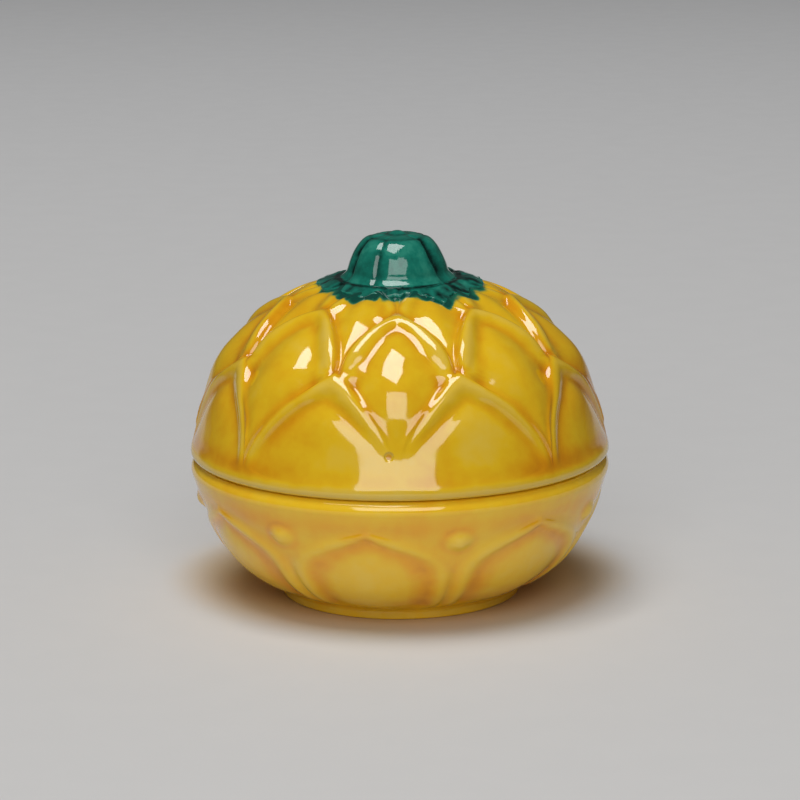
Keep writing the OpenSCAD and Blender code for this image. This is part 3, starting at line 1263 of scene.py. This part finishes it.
    def build(self, calyx: "Calyx", finishes: "Finishes") -> None:
        """Builds the lid and dresses it.

        Args:
            calyx: Calyx that lies on it.
            finishes: Materials to use.
        """
        mesh = turned(self.outline(), self.lines.columns)
        self.shape(mesh, calyx)
        soften(mesh, 8)
        piece = finished("petal_lid", mesh, finishes.yellow, finishes.clay)
        settle(piece, Body.LID, Slot.YELLOW, "lid_dome")


@dataclass
class Calyx:
    """Thin collar of green glaze and clay on the crown of the lid, ragged as by a brush.

    Attributes:
        dome: Curve of the lid that it lies on.
        inner: Radius where it goes under the stalk.
        mean: Mean radius of its edge.
        thick: Thickness near the stalk.
        front: Radius of the edge in front, at directions in degrees.
        dabs: Number of dark dabs of glaze.
        marks: Directions and radii of the largest dabs in front.
        folds: Directions of its creases, and degrees by which they swing on the way out.
        columns: Mesh columns.
        seed: Start of the row of random numbers.
    """

    dome: TurnedCurve
    inner: float = 6.5
    mean: float = 14.4
    thick: float = 0.5
    front: Keys = (
        (-100.0, 14.4), (-80.0, 13.5), (-66.0, 14.4), (-59.0, 13.5), (-50.0, 14.0), (-40.0, 14.2),
        (-29.0, 15.0), (-21.0, 13.6), (-14.0, 13.5), (-8.0, 14.6), (-3.0, 13.9), (1.0, 14.2),
        (6.0, 13.0), (13.0, 13.3), (20.0, 14.2), (25.0, 15.3), (30.0, 17.0), (35.0, 16.0),
        (40.0, 15.0), (45.0, 14.5), (50.0, 15.2), (55.0, 16.0), (61.0, 15.0), (67.0, 14.3),
        (77.0, 15.0), (100.0, 14.4),
    )
    dabs: int = 64
    marks: Keys = (
        (318.0, 13.9), (329.0, 14.3), (339.0, 13.5), (7.0, 12.9), (31.0, 15.9), (49.0, 14.6), (57.0, 15.3),
    )
    folds: Keys = ((57.0, -13.0), (-70.0, 30.0), (118.0, 8.0), (176.0, -6.0), (235.0, 5.0))
    columns: int = 540
    seed: int = 7

    def __post_init__(self) -> None:
        """Sets out the dabs and measures the edge in small steps."""
        draw = random.Random(self.seed)
        ranges = ((0.0, 360.0), (10.0, 14.8), (0.35, 0.7), (0.7, 1.8), (0.5, 1.0))
        self.spots = [tuple(draw.uniform(*span) for span in ranges) for _ in range(self.dabs)]
        self.spots += [(toward, away, 0.7, 0.8, 1.0) for toward, away in self.marks]
        self.table = [self.measured(k / EDGE_STEPS) for k in range(360 * EDGE_STEPS)]

    def measured(self, direction: float) -> float:
        """Radius of the ragged edge.

        Args:
            direction: Degrees round the axis from the front.

        Returns:
            Millimetres from the axis.
        """
        signed = (direction + 180.0) % 360.0 - 180.0
        behind = ease(80.0, 110.0, abs(signed))
        edge = between(self.front, signed) + 1.6 * behind * noise.noise(Vector((signed * 0.075, 5.0, 2.0)))
        return edge - 0.6 + 0.14 * noise.noise(Vector((signed * 0.31, 3.0, 1.0)))

    def edge(self, direction: float) -> float:
        """Radius of the ragged edge in a direction, read off the table."""
        return self.table[round(direction * EDGE_STEPS) % len(self.table)]

    def dabbed(self, radius: float, direction: float) -> float:
        """Depth of the dark dabs.

        Args:
            radius: Distance from the axis in millimetres.
            direction: Degrees round the axis from the front.

        Returns:
            A number from 0 to 1.
        """
        deepest = 0.0
        for toward, away, wide, long, depth in self.spots:
            gap = turn_gap(direction, toward)
            if gap < DAB_REACH:
                across = math.radians(gap) * radius / wide
                along = (radius - away) / long
                deepest = max(deepest, depth * math.exp(-across * across - along * along))
        return deepest

    def paint(self, radius: float, direction: float) -> float:
        """Green glaze on the lid beside the calyx.

        Args:
            radius: Distance from the axis in millimetres.
            direction: Degrees round the axis from the front.

        Returns:
            A share from 0 to 1.
        """
        if radius > self.mean + 6.0:
            return 0.0
        share = 1.0 - ease(-1.9, 1.9, radius - self.edge(direction))
        return min(1.0, share + 0.55 * ease(0.04, 0.3, share) * self.dabbed(radius, direction))

    def fold(self, radius: float, direction: float) -> float:
        """Depth of the creases that run out from the stalk's flutes.

        Args:
            radius: Distance from the axis in millimetres.
            direction: Degrees round the axis from the front.

        Returns:
            A number from 0 to 1.
        """
        out = (radius - 8.5) / 6.0
        deepest = 0.0
        for start, swing in self.folds:
            gap = math.radians(turn_gap(direction, start + swing * out)) * radius
            deepest = max(deepest, bump(gap, 0.0, 0.55))
        return deepest * (1.0 - ease(0.7, 1.1, out))

    def shape(self, mesh: bmesh.types.BMesh) -> None:
        """Lays the flat collar on the dome, with its folds and dabs, and paints shade into the crease at the
        stalk's foot.

        Args:
            mesh: Spun collar.
        """
        marks = Marks.of(mesh)
        for corner in mesh.verts:
            direction = azimuth(corner)
            share = corner[marks.share]
            raised = ease(56.0, 84.0, turn_gap(direction, 4.0))
            reach = self.edge(direction) - 1.3 * (1.0 - raised)
            lobe = noise.noise(Vector((math.sin(math.radians(direction)) * 4.5, direction * 0.004, 6.0)))
            rim = 0.04 + (0.32 + 0.35 * lobe) * raised
            if corner[marks.zone] == Zone.OUTER:
                radius = self.inner + share * (reach - self.inner)
                streak = noise.noise(Vector((direction * 0.08, radius * 0.16, 2.0)))
                dark = self.dabbed(radius, direction)
                crease = self.fold(radius, direction)
                open_part = ease(0.25, 0.6, share)
                swell = 0.4 + 0.6 * ease(0.45, 0.68, share)
                lift = self.thick * swell * (1.0 - ease(0.5, 1.0, share))
                lift += raised * (0.4 + 0.55 * lobe) * ease(0.35, 0.9, share)
                lift += (0.18 * streak * (0.1 + 0.9 * raised) - 0.02 * dark) * open_part - 0.25 * crease
                lift += 0.45 * bump(radius, 15.4, 0.9) * bump(turn_gap(direction, 33.0), 0.0, 4.0)
                lift += (rim - lift) * ease(0.8, 1.0, share)
                place(corner, radius, direction, self.dome.height_at(radius) + max(lift, 0.03))
                # The bump at 10.1 mm darkens the crease at the stalk's foot: pooled glaze with painted shade
                # in it.
                pool = 0.75 * streak * open_part + dark + 0.8 * crease + 1.1 * bump(radius, 10.1, 0.4)
                corner[marks.pool] = held(pool - 0.3 * raised * ease(0.9, 1.0, share))
            elif corner[marks.zone] == Zone.EDGE:
                radius = reach + 0.04 + 0.06 * math.sin(math.pi * share)
                level = self.dome.height_at(radius) + rim * 0.8 * (1.0 - share) - 0.4 * share
                place(corner, radius, direction, level)
                corner[marks.pool] = -0.25
            else:
                place(corner, self.inner, direction, self.dome.height_at(8.1) - 0.6)
        bmesh.ops.recalc_face_normals(mesh, faces=mesh.faces[:])

    def build(self, finishes: "Finishes") -> None:
        """Builds the calyx and dresses it.

        Args:
            finishes: Materials to use.
        """
        points = [OutlinePoint(self.inner + k, 0.0, Zone.OUTER, k / 34) for k in range(35)]
        points += [OutlinePoint(45.0, -1.0 - k, Zone.EDGE, k / 3) for k in range(4)]
        points.append(OutlinePoint(self.inner, -6.0, Zone.INNER))
        mesh = turned(points, self.columns)
        self.shape(mesh)
        piece = finished("calyx_frill", mesh, finishes.green)
        settle(piece, Body.LID, Slot.GREEN, "calyx")


@dataclass(frozen=True)
class Flute:
    """One groove of the stalk.

    Attributes:
        direction: Degrees round the axis from the front.
        half: Half width in degrees.
        depth: Depth in millimetres.
        swing: Degrees by which it swings aside at its foot.
    """

    direction: float
    half: float
    depth: float
    swing: float = 0.0


@dataclass
class Stalk:
    """Short fluted stalk with a nub, by which the lid is lifted.

    Attributes:
        under: Height of its underside, in the lid.
        aside: How far it was set off the axis, to the right, in millimetres.
        flare: Radii and heights of its lip and of the flare above it.
        side: Radii and heights of its wall.
        crown: Radii and heights of its top and nub.
        columns: Mesh columns.
        flutes: Its grooves.
    """

    under: float = 52.3
    aside: float = -0.12
    flare: Keys = (
        (9.8, 52.9), (9.92, 53.22), (9.8, 53.36), (9.52, 53.44), (9.26, 53.6), (8.98, 53.88), (8.7, 54.16),
        (8.44, 54.46), (8.26, 54.9),
    )
    side: Keys = (
        (8.1, 55.4), (7.95, 55.85), (7.75, 56.35), (7.48, 57.0), (7.13, 57.72), (6.72, 58.42), (6.24, 59.06),
        (5.68, 59.66), (5.05, 60.1),
    )
    crown: Keys = (
        (4.4, 60.28), (3.95, 60.42), (3.0, 60.56), (2.1, 60.6), (1.55, 60.6), (1.25, 60.8), (0.95, 61.0),
        (0.5, 61.14), (0.0, 61.18),
    )
    columns: int = 360
    flutes: tuple[Flute, ...] = (
        Flute(290.0, 6.0, 0.75),
        Flute(335.0, 5.0, 0.3),
        Flute(52.0, 6.0, 0.75, 6.0),
        Flute(116.0, 7.0, 0.6),
        Flute(176.0, 6.0, 0.8),
        Flute(235.0, 6.5, 0.65),
    )

    def outline(self) -> list[OutlinePoint]:
        """Outline from under the flare to the nub.

        Returns:
            The points in order.
        """
        keys = self.flare + self.side + self.crown
        points = [OutlinePoint(radius, self.under, Zone.INNER) for radius in (0.0, keys[0][0] - 0.6)]
        for (r0, z0), (r1, z1) in zip(keys, keys[1:]):
            for part in (0.0, 0.34, 0.67):
                points.append(OutlinePoint(r0 + part * (r1 - r0), z0 + part * (z1 - z0), Zone.OUTER))
        points.append(OutlinePoint(*keys[-1], Zone.OUTER))
        return points

    def groove(self, direction: float, level: float) -> float:
        """Depth of the flutes.

        Args:
            direction: Degrees round the axis from the front.
            level: Height in millimetres.

        Returns:
            Depth in millimetres.
        """
        deepest = 0.0
        low = ease(57.8, 54.4, level)
        for flute in self.flutes:
            gap = turn_gap(direction, flute.direction + flute.swing * low) / flute.half
            deepest = max(deepest, flute.depth * (0.6 * math.exp(-gap * gap) + 0.4 * math.exp(-gap * 0.7)))
        return deepest

    def shape(self, mesh: bmesh.types.BMesh) -> None:
        """Presses the flutes into the stalk and paints how the glaze lies, with painted shade in the crease
        under its flare.

        Args:
            mesh: Spun stalk.
        """
        marks = Marks.of(mesh)
        for corner in mesh.verts:
            radius = math.hypot(corner.co.x, corner.co.y) / MM
            level = corner.co.z / MM
            direction = azimuth(corner)
            if corner[marks.zone] == Zone.OUTER:
                depth = self.groove(direction, level)
                upper = ease(53.9, 55.4, level)
                top = ease(59.6, 60.2, level)
                body = upper * ease(3.0, 5.5, radius)
                skirt = (1.0 - upper) * 0.7
                bulge = 0.12 * body * (1.0 - min(1.0, depth * 2.5))
                wobble = 0.1 * noise.noise(Vector((direction * 0.05, level * 0.35, 4.0)))
                cap = ease(59.4, 60.2, level) * ease(1.9, 3.0, radius)
                ring = bump(radius, 4.35, 0.4) * top
                radius += bulge - depth * (body * (1.0 - cap) + skirt) + wobble * body
                level -= 0.4 * depth * cap + 0.35 * depth * skirt + 0.04 * ring
                nub = bump(radius, 1.75, 0.4) * ease(59.6, 60.2, level)
                # The lip term darkens the crease under the flare: pooled glaze with painted shade in it.
                lip = ease(9.3, 9.75, radius) * ease(53.8, 53.45, level)
                dark = 1.6 * depth * (body + 0.7 * skirt) + 0.45 * ring + 0.6 * nub + 1.3 * lip
                corner[marks.pool] = min(1.0, dark - 0.16)
            place(corner, max(radius, 0.0), direction, level)
            corner.co.x += self.aside * MM
        bmesh.ops.recalc_face_normals(mesh, faces=mesh.faces[:])

    def build(self, finishes: "Finishes") -> None:
        """Builds the stalk and dresses it.

        Args:
            finishes: Materials to use.
        """
        mesh = turned(self.outline(), self.columns)
        soften(mesh, 5)
        self.shape(mesh)
        piece = finished("fluted_stalk", mesh, finishes.green, crease=80.0)
        settle(piece, Body.LID, Slot.GREEN, "stalk_knob")


@dataclass
class PetalBowl:
    """Low bowl with one row of petals, beads between them, and a rebate for the flange.

    Attributes:
        curve: Outer curve from the foot to the widest ring.
        seam: Height of the seat face.
        wall: Thickness of the wall.
        floor: Height of the inside floor.
        under: Height of the underside.
        recess: Radius of the underside's flat.
        bed: Radius of the flange's bed.
        bed_low: Height of the bed's ledge.
        edge: Radius of the roll at the upper edge.
        inside: Share of the curve down from which the inside follows it.
        lines: How its mesh lines close up.
        turn: Direction of the petal nearest the front, in degrees.
        bead_at: Height of the beads' middle.
        bead_wide: Half width of a bead.
        bead_tall: Half height of a bead.
        bead_rise: Height of a bead over the wall.
        rows_up: Mesh rows on the outer curve.
    """

    curve: TurnedCurve = TurnedCurve(((20.1, 1.75), (29.8, 6.3), (31.4, 10.2), (34.9, 21.2)))
    seam: float = 23.6
    wall: float = 3.6
    floor: float = 5.0
    under: float = 1.6
    recess: float = 19.6
    bed: float = 31.9
    bed_low: float = 19.6
    edge: float = 1.9
    inside: float = 0.86
    lines: MeshLines = MeshLines(7, (4, 2, 4, 4, 4, 7, 7), 0, ((0.0, 0.06), (0.94, 1.0)))
    turn: float = -9.4
    bead_at: float = 16.4
    bead_wide: float = 2.1
    bead_tall: float = 1.7
    bead_rise: float = 0.8
    rows_up: int = 120

    def __post_init__(self) -> None:
        """Lays out the row of petals."""
        face = PetalFace(
            rise=0.34, groove=0.2, bank=0.25, bank_wide=4.0, step=((5.0, 0.16),), fall=1.9, reach=4.0,
            edge_pool=0.04, groove_pool=0.52, pool_wide=1.5, belly=0.4,
        )
        self.row = PetalRow(
            self.lines.petals,
            PetalEdge(foot=9.5, tip=18.4, broad=0.96, bend=2.6, point=1.08),
            PetalEdge(foot=8.0, tip=16.6, broad=0.70, bend=2.6, point=1.2),
            face,
        )

    def outline(self) -> list[OutlinePoint]:
        """Closed outline: underside, outside, edge, seat, bed, inside and floor.

        Returns:
            The points in order.
        """
        points = [OutlinePoint(self.recess * k / 6, self.under, Zone.EDGE) for k in range(7)]
        points += line((20.0, 1.2), (20.04, 1.5), 3, Zone.EDGE)
        for k in range(self.rows_up + 1):
            share = k / self.rows_up
            points.append(OutlinePoint(*self.curve.at(share), Zone.OUTER, share))
        centre = (self.curve.at(1.0)[0] - 1.83, self.seam - self.edge)
        points += arc(centre, self.edge, -12.0, 84.0, 10, Zone.EDGE)
        points += line((centre[0] - 0.1, self.seam), (self.bed + 0.2, self.seam), 3, Zone.BARE)
        points += line((self.bed, self.seam - 0.2), (self.bed, self.bed_low), 4, Zone.BARE)
        start = self.curve.moved(self.inside, -self.wall)
        points += line((self.bed - 0.3, self.bed_low), (start[0] + 0.2, self.bed_low), 2, Zone.BARE)
        for k in range(25):
            radius, height = self.curve.moved(self.inside * (1.0 - k / 24), -self.wall)
            if height <= self.floor + 0.4:
                break
            points.append(OutlinePoint(radius, height, Zone.INNER))
        last = points[-1].radius
        points.append(OutlinePoint(last - 1.2, self.floor + 0.1, Zone.INNER))
        points += line((last - 2.4, self.floor), (0.0, self.floor), 5, Zone.INNER)
        return points

    def relief(self, cut: PetalCut, beside: float, share: float) -> Pair:
        """Height of the petals and beads over the turned wall, and depth of the glaze there.

        Args:
            cut: The row at this level.
            beside: Place from a petal's axis, at 0, to midway to the next, at 1.
            share: Share of the outer curve.

        Returns:
            Height in millimetres and glaze depth from -1 to 1.
        """
        face = self.row.face
        level = self.curve.at(share)[1]
        outer = cut.outer.inside(beside)
        inner = cut.inner.inside(beside)
        half = cut.outer.half
        tip = self.row.outer.tip
        fade = ease(0.0, 0.16, share) * (1.0 - ease(tip - 0.2, tip + 1.4, level))
        if outer >= 0.0:
            height = face.height(outer, inner, beside * half) * fade
        else:
            height = face.behind(outer, level) * fade
        pool = face.pool(outer, inner) * fade - 0.12 * ease(1.0, 3.0, inner)
        pool += 0.45 * ease(0.0, -2.2, outer) * ease(14.5, 10.5, level)
        away = math.hypot((1.0 - beside) * half / self.bead_wide, (level - self.bead_at) / self.bead_tall)
        height += self.bead_rise * (1.0 - ease(0.15, 1.3, away))
        pool += 0.3 * bump(away, 1.3, 0.3) - 0.4 * bump(away, 0.0, 0.75)
        return height, pool

    def shape(self, mesh: bmesh.types.BMesh) -> None:
        """Moves the outer vertices into petals and paints how the glaze lies, with painted shade low on the
        wall.

        Args:
            mesh: Spun bowl.
        """
        marks = Marks.of(mesh)
        known: dict[int, tuple[PetalCut, list[float]]] = {}
        for corner in mesh.verts:
            if corner[marks.zone] != Zone.OUTER:
                corner[marks.pool] = 0.1 if corner.co.z < 3.0 * MM else -0.05
                continue
            share = corner[marks.share]
            if corner[marks.level] not in known:
                cut = self.row.cut(self.curve, share)
                known[corner[marks.level]] = (cut, cut.lines(self.row.face.fall))
            cut, places = known[corner[marks.level]]
            closing = self.lines.closing(share)
            beside, turn = self.lines.spot(corner, places, closing)
            height, pool = self.relief(cut, beside, share)
            radius, level = self.curve.moved(share, height * closing)
            place(corner, radius, turn, level)
            level = self.curve.at(share)[1]
            # The last term is painted shade: the glaze is made deeper, so darker, towards the foot.
            corner[marks.pool] = held(pool + 0.28 * bump(level, 18.8, 1.5) + 0.1 * ease(7.0, 1.8, level))

    def build(self, finishes: "Finishes") -> None:
        """Builds the bowl and dresses it.

        Args:
            finishes: Materials to use.
        """
        mesh = turned(self.outline(), self.lines.columns)
        self.shape(mesh)
        soften(mesh, 5)
        around = Matrix.Rotation(math.radians(self.turn), 3, "Z")
        bmesh.ops.rotate(mesh, verts=mesh.verts[:], cent=(0.0, 0.0, 0.0), matrix=around)
        piece = finished("petal_bowl", mesh, finishes.amber, finishes.clay)
        settle(piece, Body.BASE, Slot.YELLOW, "base_bowl")


@dataclass
class ClayRing:
    """Plain ring of clay with rounded edges.

    Attributes:
        name: Name of the piece.
        node: Solid that it replaces.
        slot: Name of its finish, handed on to settle.
        inner: Inner radius.
        outer: Outer radius.
        low: Height of its underside.
        high: Height of its top.
        round: Radius of its edges.
        glazed: Carries the yellow glaze on its outer side.
        columns: Mesh columns.
    """

    name: str
    node: str
    slot: Slot
    inner: float
    outer: float
    low: float
    high: float
    round: float
    glazed: bool = False
    columns: int = 240

    def build(self, finishes: "Finishes") -> None:
        """Builds the ring and dresses it.

        Args:
            finishes: Materials to use.
        """
        size = self.round
        side = Zone.EDGE if self.glazed else Zone.BARE
        points = arc((self.inner + size, self.low + size), size, 180.0, 270.0, 5, Zone.BARE)
        points += arc((self.outer - size, self.low + size), size, 270.0, 300.0, 2, Zone.BARE)
        points += arc((self.outer - size, self.low + size), size, 315.0, 360.0, 3, side)
        points += arc((self.outer - size, self.high - size), size, 0.0, 90.0, 5, side)
        points += arc((self.inner + size, self.high - size), size, 90.0, 180.0, 5, Zone.BARE)
        mesh = turned(points, self.columns)
        pool = Marks.of(mesh).pool
        for corner in mesh.verts:
            spot = corner.co / MM
            radius = math.hypot(spot.x, spot.y)
            sway = 0.06 * noise.noise(spot * 0.12) * MM
            corner.co.x += spot.x / radius * sway
            corner.co.y += spot.y / radius * sway
            corner[pool] = -0.1
        piece = finished(self.name, mesh, finishes.amber, finishes.clay)
        settle(piece, Body.BASE, self.slot, self.node)


# Stage


@dataclass(frozen=True)
class Finishes:
    """Materials of the object's pieces."""

    yellow: bpy.types.Material
    # The bowl's glaze, a brighter copy of the lid's as painted light.
    amber: bpy.types.Material
    green: bpy.types.Material
    clay: bpy.types.Material


@dataclass(frozen=True)
class SoftLight:
    """Rectangular studio lamp aimed at the box.

    Attributes:
        name: Name of the lamp.
        spot: Place of the lamp in metres.
        wide: Width in metres.
        tall: Height in metres.
        glow: Radiance of its face.
        aim: Point that it faces, in metres.
    """

    name: str
    spot: Spot
    wide: float
    tall: float
    glow: float
    aim: Spot = (0.0, 0.0, 0.04)

    def add(self) -> None:
        """Adds the lamp to the scene."""
        lamp = bpy.data.lights.new(self.name, "AREA")
        lamp.shape = "RECTANGLE"
        lamp.size = self.wide
        lamp.size_y = self.tall
        lamp.energy = self.glow * math.pi * self.wide * self.tall
        holder = shown(self.name, lamp)
        holder.location = self.spot
        way = Vector(self.aim) - Vector(self.spot)
        holder.rotation_euler = way.to_track_quat("-Z", "Y").to_euler()


@dataclass(frozen=True)
class Studio:
    """Camera, lamps, world and floor.

    Attributes:
        camera_spot: Place of the camera in metres.
        pitch: Degrees by which it looks down.
        roll: Degrees by which it is tilted.
        lens: Focal length in millimetres.
        sensor: Width of the camera's sensor in millimetres.
        ambient: Grey of the room.
        floor: Half width of the floor in metres.
        lamps: Soft lamps.
    """

    camera_spot: Spot = (0.0001, -0.5632, 0.1596)
    pitch: float = 12.73
    roll: float = -0.5
    lens: float = 155.4
    sensor: float = 36.0
    ambient: float = 0.05
    floor: float = 3.0
    lamps: tuple[SoftLight, ...] = (
        SoftLight("overhead_softbox", (-0.19, -0.28, 1.65), wide=0.95, tall=0.9, glow=6.9),
        SoftLight("front_panel", (-0.03, -1.12, 0.76), wide=1.08, tall=0.74, glow=3.0),
    )

    def add_camera(self) -> None:
        """Adds the camera at the photograph's place."""
        data = bpy.data.cameras.new("photo_camera")
        data.lens = self.lens
        data.sensor_width = self.sensor
        data.clip_start = 0.01
        holder = shown("photo_camera", data)
        holder.location = self.camera_spot
        holder.rotation_mode = "XYZ"
        look = Vector((0.0, math.cos(math.radians(self.pitch)), -math.sin(math.radians(self.pitch))))
        turn = look.to_track_quat("-Z", "Y").to_matrix()
        tilt = math.radians(self.roll)
        across = turn.col[0] * math.cos(tilt) + turn.col[1] * math.sin(tilt)
        upward = turn.col[1] * math.cos(tilt) - turn.col[0] * math.sin(tilt)
        turn.col[0] = across
        turn.col[1] = upward
        holder.rotation_euler = turn.to_euler("XYZ")
        bpy.context.scene.camera = holder

    def add_floor(self) -> None:
        """Adds the paper that the box stands on."""
        mesh = bmesh.new()
        bmesh.ops.create_grid(mesh, x_segments=8, y_segments=8, size=self.floor)
        data = bpy.data.meshes.new("floor")
        mesh.to_mesh(data)
        mesh.free()
        data.materials.append(PaperFloor().make("paper_floor"))
        shown("floor", data)

    def add_world(self) -> None:
        """Fills the room with a little even light."""
        world = bpy.data.worlds.new("room")
        world.use_nodes = True
        ground = world.node_tree.nodes["Background"]
        ground.inputs["Color"].default_value = (self.ambient, self.ambient, self.ambient, 1.0)
        ground.inputs["Strength"].default_value = 1.0
        bpy.context.scene.world = world

    def build(self) -> None:
        """Sets the whole stage."""
        self.add_camera()
        self.add_world()
        for lamp in self.lamps:
            lamp.add()
        self.add_floor()
        bpy.context.scene.view_settings.view_transform = "Standard"


def main() -> None:
    """Builds the stage and every piece of the box."""
    logging.basicConfig(level=logging.INFO, format="%(name)s: %(message)s")
    Studio().build()
    lid = PetalLid()
    calyx = Calyx(lid.curve)
    # The bowl's glaze is the lid's glaze made brighter, as painted light: the lamps give the bowl less light
    # than the lid.
    brighter_bowl_glaze = YellowGlaze(
        thin=(0.95, 0.69, 0.12),
        body=(0.95, 0.585, 0.02),
        pooled=(0.92, 0.42, 0.008),
        deep=(0.72, 0.25, 0.004),
    )
    finishes = Finishes(
        yellow=YellowGlaze().make("yellow_glaze_lid", [lid.spot(direction=-3.0, level=30.6)]),
        amber=brighter_bowl_glaze.make("yellow_glaze_bowl_brightened"),
        green=GreenGlaze().make("green_glaze_pooled"),
        clay=BareClay().make("bare_clay_wiped"),
    )
    flange = ClayRing(
        "flange_strip", "seat_flange", Slot.CLAY, inner=30.0, outer=31.85, low=19.62, high=26.8, round=0.5
    )
    foot = ClayRing(
        "standing_ring", "foot_ring", Slot.YELLOW,
        inner=16.6, outer=20.0, low=0.0, high=1.62, round=0.35, glazed=True,
    )
    lid.build(calyx, finishes)
    for part in (calyx, Stalk(), PetalBowl(), flange, foot):
        part.build(finishes)


if __name__ == "__main__":
    main()
